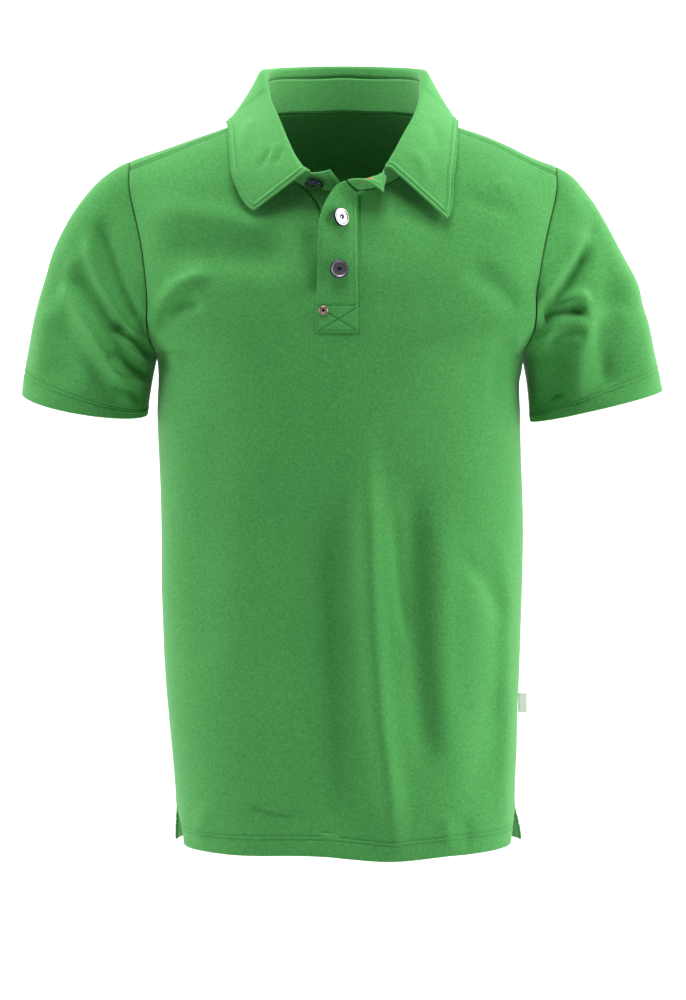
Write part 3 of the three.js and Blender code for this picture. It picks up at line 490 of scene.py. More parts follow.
# A place on a grid, between its points: the key lists give the grid's columns and rows
def onGrid(surface, u, v):
    columns, rows, grid, normals = surface
    i = min(max(bisect.bisect_right(columns, u) - 1, 0), len(columns) - 2)
    j = min(max(bisect.bisect_right(rows, v) - 1, 0), len(rows) - 2)
    s = clamp((u - columns[i]) / (columns[i + 1] - columns[i]))
    t = clamp((v - rows[j]) / (rows[j + 1] - rows[j]))

    def between(values):
        return values[i][j].lerp(values[i + 1][j], s).lerp(values[i][j + 1].lerp(values[i + 1][j + 1], s), t)

    return between(grid), between(normals).normalized()


# Materials
def linear(hexColour):
    values = [int(hexColour[k : k + 2], 16) / 255 for k in (1, 3, 5)]
    return tuple(v / 12.92 if v <= 0.04045 else ((v + 0.055) / 1.055) ** 2.4 for v in values) + (1.0,)


def addNode(tree, kind, settings=(), links=()):
    node = tree.nodes.new(kind)
    for name, value in dict(settings).items():
        if name in node.inputs:
            node.inputs[name].default_value = value
        else:
            setattr(node, name, value)
    for socket, source in dict(links).items():
        tree.links.new(source, node.inputs[socket])
    return node


def newMaterial(name):
    made = bpy.data.materials.new(name)
    made.use_nodes = True
    made.node_tree.nodes.clear()
    return made, made.node_tree


def finishMaterial(tree, shader):
    addNode(tree, "ShaderNodeOutputMaterial", links={"Surface": shader.outputs["BSDF"]})


# Dyed cotton pique, a circular knit of small raised cells: matt and slightly fuzzy, so light catches it
# at grazing angles. The cells are 1.2 mm apart, and the mottle of the yarn is drawn at 2.2 mm so that
# it shows.
knit = {"cell": 1.2, "mottle": 2.2, "cloud": 120.0, "roughness": 0.86, "sheen": 0.2}


def makePique(name, hexColour, deeper):
    made, tree = newMaterial(name)
    place = addNode(tree, "ShaderNodeUVMap", {"uv_map": "weave"})
    solid = addNode(tree, "ShaderNodeTexCoord")
    cells = addNode(
        tree,
        "ShaderNodeTexVoronoi",
        {"Scale": 1 / (knit["cell"] * metre), "Randomness": 0.35},
        {"Vector": place.outputs["UV"]},
    )
    yarn = addNode(
        tree,
        "ShaderNodeTexNoise",
        {"Scale": 1 / (knit["mottle"] * metre), "Detail": 3.0, "Roughness": 0.65},
        {"Vector": solid.outputs["Object"]},
    )
    cloud = addNode(
        tree,
        "ShaderNodeTexNoise",
        {"Scale": 1 / (knit["cloud"] * metre), "Detail": 2.0},
        {"Vector": solid.outputs["Object"]},
    )
    mottle = addNode(
        tree,
        "ShaderNodeMapRange",
        {"From Min": 0.3, "From Max": 0.7, "To Min": 0.0, "To Max": 0.7},
        {"Value": yarn.outputs["Fac"]},
    )
    patches = addNode(
        tree,
        "ShaderNodeMapRange",
        {"From Min": 0.3, "From Max": 0.7, "To Min": 0.0, "To Max": 0.16},
        {"Value": cloud.outputs["Fac"]},
    )
    share = addNode(tree, "ShaderNodeMath", {"operation": "ADD"})
    tree.links.new(mottle.outputs["Result"], share.inputs[0])
    tree.links.new(patches.outputs["Result"], share.inputs[1])
    colour = addNode(tree, "ShaderNodeMix", {"data_type": "RGBA"})
    colour.inputs[6].default_value = linear(hexColour)
    colour.inputs[7].default_value = linear(deeper)
    tree.links.new(share.outputs["Value"], colour.inputs["Factor"])
    yarnBump = addNode(
        tree,
        "ShaderNodeBump",
        {"Strength": 0.35, "Distance": 0.25 * metre},
        {"Height": yarn.outputs["Fac"]},
    )
    cellBump = addNode(
        tree,
        "ShaderNodeBump",
        {"Strength": 0.4, "Distance": 0.22 * metre, "invert": True},
        {"Height": cells.outputs["Distance"], "Normal": yarnBump.outputs["Normal"]},
    )
    shader = addNode(
        tree,
        "ShaderNodeBsdfPrincipled",
        {
            "Roughness": knit["roughness"],
            "IOR": 1.5,
            "Specular IOR Level": 0.25,
            "Sheen Weight": knit["sheen"],
            "Sheen Roughness": 0.45,
            "Sheen Tint": linear("#e6f7e0"),
        },
        {"Base Color": colour.outputs[2], "Normal": cellBump.outputs["Normal"]},
    )
    finishMaterial(tree, shader)
    return made


# Spun polyester thread: a round strand with a faint shine
def makeThread(name, hexColour):
    made, tree = newMaterial(name)
    solid = addNode(tree, "ShaderNodeTexCoord")
    twist = addNode(
        tree,
        "ShaderNodeTexNoise",
        {"Scale": 1 / (0.5 * metre), "Detail": 1.0},
        {"Vector": solid.outputs["Object"]},
    )
    relief = addNode(
        tree, "ShaderNodeBump", {"Strength": 0.3, "Distance": 0.1 * metre}, {"Height": twist.outputs["Fac"]}
    )
    shader = addNode(
        tree,
        "ShaderNodeBsdfPrincipled",
        {"Base Color": linear(hexColour), "Roughness": 0.6, "IOR": 1.53},
        {"Normal": relief.outputs["Normal"]},
    )
    finishMaterial(tree, shader)
    return made


# Pressed metal with a dull plating: the face is satin with a fine turned grain
def makeMetal(name, hexColour, roughness, grain):
    made, tree = newMaterial(name)
    solid = addNode(tree, "ShaderNodeTexCoord")
    specks = addNode(
        tree,
        "ShaderNodeTexNoise",
        {"Scale": 1 / (grain * metre), "Detail": 2.0},
        {"Vector": solid.outputs["Object"]},
    )
    polish = addNode(
        tree,
        "ShaderNodeMapRange",
        {"To Min": roughness - 0.08, "To Max": roughness + 0.12},
        {"Value": specks.outputs["Fac"]},
    )
    relief = addNode(
        tree,
        "ShaderNodeBump",
        {"Strength": 0.15, "Distance": 0.05 * metre},
        {"Height": specks.outputs["Fac"]},
    )
    shader = addNode(
        tree,
        "ShaderNodeBsdfPrincipled",
        {"Base Color": linear(hexColour), "Metallic": 1.0},
        {"Roughness": polish.outputs["Result"], "Normal": relief.outputs["Normal"]},
    )
    finishMaterial(tree, shader)
    return made


# Woven polyester tape: plain weave, a thread every 0.4 mm
def makeTape(name, hexColour):
    made, tree = newMaterial(name)
    solid = addNode(tree, "ShaderNodeTexCoord")
    threads = addNode(
        tree,
        "ShaderNodeTexWave",
        {"Scale": 0.05 / (0.4 * metre), "bands_direction": "Z"},
        {"Vector": solid.outputs["Object"]},
    )
    relief = addNode(
        tree, "ShaderNodeBump", {"Strength": 0.3, "Distance": 0.1 * metre}, {"Height": threads.outputs["Fac"]}
    )
    shader = addNode(
        tree,
        "ShaderNodeBsdfPrincipled",
        {"Base Color": linear(hexColour), "Roughness": 0.7, "IOR": 1.5},
        {"Normal": relief.outputs["Normal"]},
    )
    finishMaterial(tree, shader)
    return made


greenPique = makePique("dyedCottonPique", "#51a353", "#347f39")
# The collar's copy of the pique has lighter colours: painted light, standing in for the light that falls on
# the collar from above and in front.
collarPiquePaintedLight = makePique("dyedCottonPiqueCollarPaintedLight", "#5aab5b", "#3f8d45")
greenThread = makeThread("greenSewingThread", "#3f8f45")
orangeThread = makeThread("orangeButtonholeThread", "#d8743a")
pewterPlate = makeMetal("satinPewterPlating", "#b4b0b2", 0.3, 0.6)
dullPewter = makeMetal("dullPewterPlating", "#8d898c", 0.42, 0.6)
blackenedMetal = makeMetal("blackenedMetal", "#2c2a45", 0.3, 0.5)
copperPlate = makeMetal("agedCopperPlating", "#a58a80", 0.34, 0.4)
whiteTape = makeTape("whiteWovenTape", "#eeeeec")
print("materials made")

# Body panels. u runs from the wearer's right edge (-1) to the left edge (1), and v from the hem (0)
# to the underarm (1) and the top edge (2).
panels = {
    "thickness": 1.2,
    "columnStep": 3.3,
    "rowStep": 3.6,
    "hem": 22,
    "hemStitches": (16.2, 19.6),
    "seamDip": 1.0,
    "seamWidth": 3.2,
    "stitchDepth": 0.8,
    "stitchWidth": 0.9,
    "shoulderStitch": 5,
    "creaseFade": (0.08, 0.12),
}
slot = {"right": -0.084, "left": 0.056, "foot": 0.15, "flareFrom": 0.72, "flareReach": 25, "beside": 60}
bodyLength = worn["underarmZ"] - worn["hemZ"]["back"]


def slotPull(x, s):
    near = x - worn["centreScale"] * slot["right"]
    width = worn["centreScale"] * (slot["left"] - slot["right"])
    share = 1 - near / width if near > 0 else 1 + near / slot["beside"]
    opened = clamp((s - slot["flareFrom"]) / (1 - slot["flareFrom"]))
    return slot["flareReach"] * opened ** 1.6 * clamp(share)


def armholeAt(tau, sign):
    drop = rollOver(abs(tau))[0]
    x = worn["shoulderHalf"]
    for _ in range(12):
        z = ridgeZ(sign * x) - drop
        foot = clamp((z - worn["underarmZ"]) / worn["armholeRise"])
        share = worn["armholeShare"] * math.sqrt(1 - (1 - foot) ** 2)
        across = (1 - share ** worn["sectionPower"]) ** (1 / worn["sectionPower"])
        x = mix(halfAt(z) * across, worn["shoulderHalf"], smooth(1 - drop / worn["ridgeRoll"]) ** 2)
    return x, min(0.9999, x / halfAt(z))


armholes = {}


def armholeOf(side, sign, s):
    key = (side, sign, s)
    if key not in armholes:
        own = 1 if side == "front" else -1
        underarm = worn["underarmZ"]
        sideTau = tauOfDrop(ridgeZ(halfAt(underarm)) - underarm)
        armholes[key] = armholeAt(mix(sideTau, own * seamTau(worn["shoulderHalf"]), s), sign)
    return armholes[key]


# A column's place on the top edge: along the neck, then along the shoulder seam
def topOf(side, a):
    if a >= worn["neckShare"]:
        x = mix(worn["neckHalf"], worn["shoulderHalf"], (a - worn["neckShare"]) / (1 - worn["neckShare"]))
        return x, seamTau(x)
    share = a / worn["neckShare"]
    return neckRing(seamAngle * share if side == "front" else 180 - (180 - seamAngle) * share)


def columnX(side, sign, a, s):
    edgeX, across = armholeOf(side, sign, s)
    spread = smooth((a - 0.1) / 0.35)
    level = mix(worn["centreScale"] * a, math.sin(math.asin(across) * a) / across * edgeX, spread)
    x = mix(level, topOf(side, a)[0], smooth((s - 0.25) / 0.75))
    return sign * x + shiftAt(worn["underarmZ"]) * (1 - s) ** 3


# The open slit pulls the front's right side away. The columns beside it move along the neck, less and less
# towards the seam. Returned are the share of the pull and the place on the top edge, as an angle.
def pullBeside(a):
    edge = seamAngle * abs(slot["right"]) / worn["neckShare"]
    edgeX = worn["neckHalf"] * math.sin(math.radians(edge))
    reach = slotPull(-edgeX, 1)
    pulledEdge = math.degrees(math.asin((edgeX + reach) / worn["neckHalf"]))
    angle = seamAngle * a / worn["neckShare"]
    pulled = seamAngle - (seamAngle - angle) * (seamAngle - pulledEdge) / (seamAngle - edge)
    moved = math.sin(math.radians(pulled)) - math.sin(math.radians(angle))
    return worn["neckHalf"] * moved / reach, pulled


def panelPoint(side, u, v):
    front = side == "front"
    own = 1 if front else -1
    a = abs(u)
    sign = -1 if u < 0 else 1
    spread = smooth((a - 0.1) / 0.35)
    if v <= 1:
        wave = sum(drop * bump(worn["centreScale"] * u - x, width) for x, width, drop in worn["hemWaves"])
        levels = worn["hemZ"]
        hem = mix(levels["frontCentre"], levels["frontSide"], u * u) - wave if front else levels["back"]
        z = mix(hem, worn["underarmZ"], v)
        slit = smooth((worn["ventTopZ"] - z) / (worn["ventTopZ"] - hem))
        turn = math.pi / 2 * a * (1 - worn["ventOpening"][side] * slit * a**6)
        x = mix(worn["centreScale"] * a, halfAt(z) * math.sin(turn), spread)
        point = formPoint(side, shiftAt(z) + sign * x, z)
        point.x += sign * worn["ventFlare"][side][1 if sign > 0 else 0] * slit * a**10
    else:
        s = v - 1
        topX, topTau = topOf(side, a)
        x = columnX(side, sign, a, s)
        if front and a < worn["neckShare"]:
            if u < slot["right"]:
                share, angle = pullBeside(a)
                x -= share * slotPull(columnX(side, -1, -slot["right"], s), s)
                topTau = neckRing(-angle)[1]
            elif u < slot["left"]:
                x -= slotPull(x, s)
                pulled = sign * topX - slotPull(sign * topX, 1)
                topTau = tauOfDrop(ridgeZ(pulled) - neckZAt(pulled))
        footTau = tauOfDrop(ridgeZ(x) - worn["underarmZ"])
        drop, lean = rollOver(mix(footTau, own * topTau, s))
        point = formPoint(side, x, ridgeZ(x) - drop, lean)
    fade = smooth((1 - a) / panels["creaseFade"][0])
    if v > 1:
        fade *= smooth((2 - v) / panels["creaseFade"][1])
    point.y -= own * (foldDepth(large[side], point.x, point.z) * fade + worn["seamGap"] / 2)
    return point


def closeEnds(values, ends):
    # keeps a list's ends and adds places close to them, for seams and stitches
    return sorted(set(values) | {ends[0] + near for near in ends[2]} | {ends[1] - near for near in ends[3]})


# Rows close to each line of stitches, as distances
def nearStitches(lines):
    offsets = (-1.6, -0.8, 0, 0.8, 1.7)
    return [lines[0] - 2.6] + [line + off for line in lines for off in offsets] + [lines[-1] + 2.8]


edgeSteps = (0.003, 0.0065, 0.0105, 0.0155, 0.022)
panelHalfWidth = 238


def panelKeys(hasSlot):
    step = panels["columnStep"] / panelHalfWidth
    stops = [-1, slot["right"], slot["left"], 1] if hasSlot else [-1, 1]
    columns = []
    for low, high in zip(stops, stops[1:]):
        columns += steps(low, high, round((high - low) / step))[:-1]
    columns = closeEnds(columns + [1.0], (-1, 1, edgeSteps, edgeSteps))
    near = [row / bodyLength for row in nearStitches(panels["hemStitches"])]
    firstRow = turned["radius"] / bodyLength
    lower = steps(near[-1] + 3.6 / bodyLength, 1, round(bodyLength / panels["rowStep"]))[:-1]
    low = [firstRow, 5 / bodyLength, 9 / bodyLength, 12 / bodyLength]
    upper = steps(1, 1 + slot["foot"], 11)[:-1] + steps(1 + slot["foot"], 2, 60)
    topRows = [2 - off for off in (0.006, 0.012, 0.02, 0.028, 0.034, 0.04)]
    rows = sorted(set(low + near + lower + upper + topRows))
    return columns, rows


def seamRound(distance):
    share = clamp(1 - distance / panels["seamWidth"])
    return -panels["seamDip"] * share * share


def stitchGroove(distance):
    pillow = 0.35 * bump(abs(distance) - 2.2, 1.4)
    return pillow * panels["stitchDepth"] - panels["stitchDepth"] * bump(distance, panels["stitchWidth"])


shoulderLength = {"front": 150, "back": 190}
ventRow = (worn["ventTopZ"] - worn["hemZ"]["back"]) / bodyLength
ventStitch = 8


def makePanel(side, name, material):
    columns, rows = panelKeys(side == "front")
    grid = [[panelPoint(side, u, v) for v in rows] for u in columns]
    out = 1 if side == "front" else -1
    normals = gridNormals(grid, out)

    def detail(i, j, p):
        a, v = abs(columns[i]), rows[j]
        side_ = (1 - a) * panelHalfWidth
        top = (2 - v) * shoulderLength[side] if v > 1 else 200
        total = seamRound(side_)
        for line in panels["hemStitches"]:
            total += stitchGroove(v * bodyLength - line)
        if a > worn["neckShare"]:
            total += seamRound(top)
            if side == "front":
                total += stitchGroove(top - panels["shoulderStitch"])
        if v < ventRow:
            total += stitchGroove(side_ - ventStitch) * smooth((ventRow - v) / 0.01)
        calm = smooth(side_ / 14) * smooth(top / 10)
        return total + foldDepth(small[side], p.x, p.z) * calm + uneven(p) * calm

    grid = raiseGrid(grid, normals, detail)
    normals = gridNormals(grid, out)
    surface = (columns, rows, grid, normals)
    full, extra = turnUnder(grid, normals, panels["hem"])
    flats = ([u * panelHalfWidth for u in columns], extra + [v * bodyLength for v in rows])
    turnedRows = len(extra)

    def gone(i, j):
        inside = slot["right"] - 1e-6 < columns[i] < slot["left"] - 1e-6
        return inside and j >= turnedRows and rows[j - turnedRows] > 1 + slot["foot"] - 1e-6

    piece = makeCloth(name, full, flats, panels["thickness"], out, gone=gone if side == "front" else None)
    node = "front" if side == "front" else "back"
    finishPiece(piece, node, material)
    return piece, surface


frontPanel, frontSurface = makePanel("front", "frontPanel", greenPique)
backPanel, backSurface = makePanel("back", "backPanel", greenPique)
print("body panels made")

# Sleeves: rings from the armhole to the cuff. Each ring starts under the arm and runs up the front.
sleeves = {
    "rings": 50,
    "around": 200,
    "hem": 22,
    "hemStitches": (16.2, 19.4),
    "cuffHalfDepth": 51,
    "length": 190,
    "girth": 400,
    "left": {
        "innerX": 187,
        "innerZ": -309,
        "outerX": 320,
        "outerZ": -279,
        "tilt": -0.1,
        "out": 0.88,
        "arrive": 1.65,
    },
    "right": {
        "innerX": 195,
        "innerZ": -302,
        "outerX": 321,
        "outerZ": -282,
        "tilt": -0.24,
        "out": 1.1,
        "arrive": 0.8,
    },
}
sleeveFlow = table(
    "rise out drop bulge cuffOut cuffDrop",
    (0, 12, 60, 0, 4, 62),
    (0.5, 95, 105, 22, 34, 170),
    (1, 200, 84, 0, 45, 290),
)
flowNames = ("out", "drop", "bulge", "cuffOut", "cuffDrop")
flowOf = {name: curveThrough(sleeveFlow, "rise", name) for name in flowNames}
armholeRows = [1, 1.05, 1.1, 1.15, 1.22, 1.3, 1.39, 1.48, 1.57, 1.66, 1.75, 1.84, 1.92, 2]
rowOfShare = curveThrough(
    [{"share": k / (len(armholeRows) - 1), "row": row} for k, row in enumerate(armholeRows)], "share", "row"
)


def sleevePoint(hand, seam, v):
    sign = 1 if hand == "left" else -1
    point, around, rise = seam
    cuff = sleeves[hand]
    turn = 2 * math.pi * around
    inward, forward = math.cos(turn), math.sin(turn)
    depth = sleeves["cuffHalfDepth"]
    end = Vector((
        sign * ((cuff["innerX"] + cuff["outerX"]) / 2 - inward * (cuff["outerX"] - cuff["innerX"]) / 2),
        -forward * depth,
        (cuff["innerZ"] + cuff["outerZ"]) / 2
        - inward * (cuff["outerZ"] - cuff["innerZ"]) / 2
        + forward * depth * cuff["tilt"],
    ))
    flow = {name: curve(rise) for name, curve in flowOf.items()}
    leave = Vector((sign * mix(1, cuff["out"], rise) * flow["out"], -forward * flow["bulge"], -flow["drop"]))
    arrive = Vector((sign * mix(1, cuff["arrive"], rise) * flow["cuffOut"], 0, -flow["cuffDrop"]))
    v2, v3 = v * v, v * v * v
    ends = point * (2 * v3 - 3 * v2 + 1) + end * (3 * v2 - 2 * v3)
    return ends + leave * (v3 - 2 * v2 + v) + arrive * (v3 - v2)


def makeSleeve(hand, name, node):
    side = 1 if hand == "left" else -1
    topZ = panelPoint("front", side, 2).z
    columns = steps(0, 1, sleeves["around"])
    seams = []
    for around in columns:
        front = around <= 0.5
        row = rowOfShare(2 * around if front else 2 - 2 * around)
        point = panelPoint("front" if front else "back", side, row)
        seams.append((point, around, clamp((point.z - worn["underarmZ"]) / (topZ - worn["underarmZ"]))))
    seams[-1] = seams[0]
    length = sleeves["length"]
    radius = turned["radius"]
    near = [1 - (line - radius) / length for line in reversed(nearStitches(sleeves["hemStitches"]))]
    start = [0.002, 0.006, 0.011, 0.017, 0.026]
    ends = [near[-1] + 4 / length, near[-1] + 8 / length, 1 - radius / length]
    rows = sorted(start + steps(0.045, near[0] - 3 / length, sleeves["rings"]) + near + ends)
    grid = [[sleevePoint(hand, seam, v) for v in rows] for seam in seams]
    out = -side
    plain = gridNormals(grid, out, True)

    def detail(i, j, p):
        v = rows[j]
        fade = smooth(v / 0.05) * mix(0.35, 1, smooth((1 - v) / 0.2))
        facing = plain[i][j].y
        seen = smooth(0.4 - facing * 2) + smooth(facing * 2 - 0.1)
        total = foldDepth(large["sleeve"], p.x, p.z) * fade * seen
        total += foldDepth(small["sleeve"], p.x, p.z) * fade * seen
        total += seamRound(v * length)
        for line in sleeves["hemStitches"]:
            total += stitchGroove((1 - v) * length + radius - line)
        underSeam = min(columns[i], 1 - columns[i]) * sleeves["girth"]
        return total + seamRound(underSeam) * 0.6 + uneven(p) * smooth(v / 0.06)

    grid = raiseGrid(grid, plain, detail)
    # the hem turns under past the last row, so the rows are handed over from the cuff up
    rows = [1 - v for v in reversed(rows)]
    grid = [points[::-1] for points in grid]
    normals = gridNormals(grid, -out, True)
    surface = (columns, rows, grid, normals)
    full, extra = turnUnder(grid, normals, sleeves["hem"])
    flats = ([around * sleeves["girth"] for around in columns], extra + [v * length for v in rows])
    piece = makeCloth(name, full, flats, panels["thickness"], -out, closed=True)
    finishPiece(piece, node, greenPique)
    return piece, surface


sleeveLeft, sleeveLeftSurface = makeSleeve("left", "sleeveLeft", "sleeve_left")
sleeveRight, sleeveRightSurface = makeSleeve("right", "sleeveRight", "sleeve_right")
print("sleeves made")


# Plackets. The under one fills the slit and the top one lies over both, lifted where the neck is open.
def frontCloth(x, z):
    point = formPoint("front", x, z)
    point.y -= foldDepth(large["front"], x, z) + worn["seamGap"] / 2
    return point


def frontOut(x, z):
    across = frontCloth(x + 1, z) - frontCloth(x - 1, z)
    along = frontCloth(x, z + 1) - frontCloth(x, z - 1)
    return across.cross(along).normalized()


plackets = {
    "thickness": 1.5,
    "footZ": -229,
    "leftX": 16.5,
    "leftXAtNeck": 15,
    "cornerX": 3,
    "liftFromZ": -185,
    "lift": 20,
    "offFront": 1.85,
    "columns": 44,
    "rows": 150,
    "boxHeight": 26,
    "stitchIn": 1.6,
    "underStitchIn": 2.5,
}
topPlacketEdge = table(
    "z x",
    (-229, -26),
    (-197, -25.6),
    (-162, -24),
    (-135, -21.9),
    (-125, -20.5),
    (-116, -16.8),
    (-109, -13.3),
    (-102, -8.9),
    (-96, -3.8),
    (-92.8, 3),
)
placketRightAt = curveThrough(topPlacketEdge, "z", "x")
placketTopZ = neckZAt(plackets["cornerX"]) - 0.8


def placketSides(z):
    left = mix(plackets["leftX"], plackets["leftXAtNeck"], smooth((z - plackets["footZ"]) / 140))
    return placketRightAt(z), left


def topPlacketPoint(a, z, off):
    right, left = placketSides(z)
    x = mix(right, left, a)
    lift = plackets["lift"] * smooth((z - plackets["liftFromZ"]) / 80) * (1 - a) ** 1.4
    return frontCloth(x, z) + frontOut(x, z) * (off + lift)


def makeTopPlacket():
    columns = closeEnds(steps(0, 1, plackets["columns"]), (0, 1, (0.008, 0.016), (0.008, 0.016)))
    height = placketTopZ - plackets["footZ"]
    rows = closeEnds(steps(0, 1, plackets["rows"]), (0, 1, (0.002, 0.005), (0.002, 0.005)))
    grid = [
        [topPlacketPoint(a, mix(plackets["footZ"], placketTopZ, b), plackets["offFront"]) for b in rows]
        for a in columns
    ]
    normals = gridNormals(grid)

    def detail(i, j, p):
        right, left = placketSides(p.z)
        fromRight, fromLeft, fromFoot = p.x - right, left - p.x, p.z - plackets["footZ"]
        total = seamRound(min(fromRight, fromLeft, fromFoot)) * 0.7
        total += stitchGroove(fromLeft - plackets["stitchIn"])
        inBox = smooth((plackets["boxHeight"] + 2 - fromFoot) / 2)
        box = max(
            bump(fromFoot - plackets["boxHeight"], 0.8),
            bump(fromFoot - 2, 0.8) * inBox,
            bump(fromRight - 2, 0.8) * inBox,
            *(bump(diagonal, 0.8) * inBox for diagonal in boxDiagonals(fromRight, fromFoot, left - right)),
        )
        return total - box * panels["stitchDepth"] + uneven(p) * 0.4

    grid = raiseGrid(grid, normals, detail)
    surface = (columns, rows, grid, gridNormals(grid))
    flats = ([a * 42 for a in columns], [b * height for b in rows])
    piece = makeCloth("topPlacket", grid, flats, plackets["thickness"])
    finishPiece(piece, "placket_top", greenPique)
    return piece, surface


# How far a place in the box lies from its two diagonals
def boxDiagonals(across, up, width):
    height = plackets["boxHeight"]
    length = math.hypot(width, height)
    rising = (up * width - across * height) / length
    falling = (up * width - (width - across) * height) / length
    return rising, falling


def makeUnderPlacket():
    columns = steps(0, 1, 16)
    rows = steps(1 + slot["foot"], 2, 60)
    gap = worn["seamGap"]
    grid = []
    for a in columns:
        points = []
        for v in rows:
            right = panelPoint("front", slot["right"], v)
            left = panelPoint("front", slot["left"], v)
            x = mix(right.x + gap, left.x - gap, a)
            z = mix(right.z, left.z, a) - (0.4 if v == 2 else 0)
            points.append(frontCloth(x, z))
        grid.append(points)
    normals = gridNormals(grid)

    def detail(i, j, p):
        reach = (grid[-1][j] - grid[0][j]).length
        return seamRound(columns[i] * reach) + stitchGroove(columns[i] * reach - plackets["underStitchIn"])

    grid = raiseGrid(grid, normals, detail)
    surface = (columns, rows, grid, gridNormals(grid))
    flats = ([a * 36 for a in columns], [v * 190 for v in rows])
    piece = makeCloth("underPlacket", grid, flats, plackets["thickness"])
    finishPiece(piece, "placket_under", greenPique)
    return piece, surface


topPlacket, topPlacketSurface = makeTopPlacket()
underPlacket, underPlacketSurface = makeUnderPlacket()
print("plackets made")

# Collar: the seam's place round the neck, the top of the fold, the leaf's edge (x, length from the ridge,
# lift off the cloth) and the height of the stand, at stations from the wearer's right end to the left one
collar = {
    "thickness": 2.0,
    "fold": 3.4,
    "foldReach": 14,
    "leafFirst": 1,
    "leafLast": 17,
    "standFoot": 0.042,
    "bow": (0, -2, 5),
    "edgeStitch": 5.4,
    "leafColumns": 230,
    "standColumns": 210,
    "standRows": 16,
}
collarStations = table(
    "seam foldX foldY foldZ edgeX edgeTau edgeLift stand",
    (3.6, -14.5, -112, -71, -40, 152, 14, 31),
    (-20, -34.6, -111, -74, -83.5, 147, 5, 23),
    (-38, -46.4, -99, -60, -104.2, 111, 6, 21),
    (-55, -56, -81, -38, -109.1, 79, 5, 27),
    (-72, -64.4, -60, -15, -113.3, 28, 4, 30),
    (-86, -74, -30, 10, -115, 9, 4, 31),
    (-103, -79.5, 0, 38, -111, -10, 4, 34),
    (-125, -72, 32, 47, -94, -33, 5, 36),
    (-152, -40, 57, 53, -56, -53, 6, 36),
    (-180, 0, 65, 55, 0, -73, 6, 36),
    (-208, 40, 57, 53, 56, -53, 6, 36),
    (-235, 73, 32, 47, 94, -33, 5, 36),
    (-257, 81, 0, 38, 110.5, -10, 4, 34),
    (-274, 78, -32, 12, 112.5, 9, 4, 31),
    (-288, 72, -56, -10, 113, 27, 4, 30),
    (-305, 62, -76, -31, 110, 70, 5, 29),
    (-322, 53, -89, -50, 106.5, 101, 6, 25),
    (-336, 44.3, -98, -69, 98, 150.5, 6, 20),
    (-356.4, 38, -108, -94, 50, 170, 14, 33),
)
lastStation = len(collarStations) - 1
placketShareAt = curveThrough(
    [{"at": at, "a": a} for at, a in ((17.25, 1), (17.5, 0.6), (17.75, 0.3), (18, 0))], "at", "a"
)


def stationValue(column, at):
    i = min(int(at), lastStation - 1)
    t = at - i
    p, q, r, s = (collarStations[min(max(k, 0), lastStation)][column] for k in (i - 1, i, i + 1, i + 2))
    square = 2 * p - 5 * q + 4 * r - s
    cube = 3 * q - p - 3 * r + s
    return 0.5 * (2 * q + (r - p) * t + square * t * t + cube * t**3)


# Where the stand is sewn on: round the neck, then along the top placket's upper edge
def collarFoot(at):
    last = collar["leafLast"]
    if at <= last:
        return neckPoint(stationValue("seam", at))
    sewn = topPlacketPoint(placketShareAt(max(at, last + 0.25)), placketTopZ, plackets["offFront"])
    sewn += Vector((0, 0, 0.5))
    if at < last + 0.25:
        return neckPoint(stationValue("seam", last)).lerp(sewn, (at - last) / 0.25)
    return sewn


def foldCorner(foot, corner, edge):
    up, down = corner - foot, edge - corner
    half = (-up).angle(down) / 2
    reachOver = 1 / math.sin(half) - 1
    radius = min(collar["fold"], 0.5 * up.length * math.tan(half), collar["foldReach"] / reachOver)
    return corner, up, down, half, radius, radius * reachOver


def collarSection(at):
    foot = collarFoot(at)
    fold = Vector([stationValue(name, at) for name in ("foldX", "foldY", "foldZ")])
    edge = overForm(*(stationValue(name, at) for name in ("edgeX", "edgeTau", "edgeLift")))[0]
    away = (fold - foot.lerp(edge, 0.5)).normalized()
    bent = foldCorner(foot, fold, edge)
    for _ in range(6):
        bent = foldCorner(foot, fold + away * bent[5], edge)
    corner, up, down, half, radius, _ = bent
    reach = radius / math.tan(half)
    upUnit, downUnit = up.normalized(), down.normalized()
    turn = math.pi - 2 * half
    lengths = (up.length - reach, radius * turn, down.length - reach)
    across = (downUnit - upUnit * downUnit.dot(upUnit)).normalized()
    start = corner - upUnit * reach

    def place(w):
        if w <= lengths[0]:
            return foot + upUnit * w
        bend = min(turn, (w - lengths[0]) / radius)
        point = start + upUnit * (radius * math.sin(bend)) + across * (radius * (1 - math.cos(bend)))
        return point + downUnit * max(0, w - lengths[0] - lengths[1])

    height = min(stationValue("stand", at), lengths[0] - 1)
    return {"place": place, "foot": foot, "fold": fold, "lengths": lengths, "stand": height}


def standPoint(at, w):
    section = collarSection(at)
    opened = clamp(3 * (at - collar["leafLast"]))
    upright = section["place"](section["stand"] * w)
    bowed = section["foot"].lerp(section["fold"], w) + Vector(collar["bow"]) * math.sin(math.pi * w)
    return upright.lerp(bowed, opened)


# Lengths from an edge at which a collar piece has a row or column, so that its stitches run parallel to it
nearEdge = (0, 0.5, 1.1, 1.9, 3.0, 4.2, 4.8, 5.4, 6.0, 6.8, 8.2, 10.5)


def stitchedEdge(distance):
    return seamRound(distance) * 0.7 + stitchGroove(distance - collar["edgeStitch"])


def distanceFromEnds(i, count):
    nearest = min(i, count - 1 - i)
    return nearEdge[nearest] if nearest < len(nearEdge) else 99


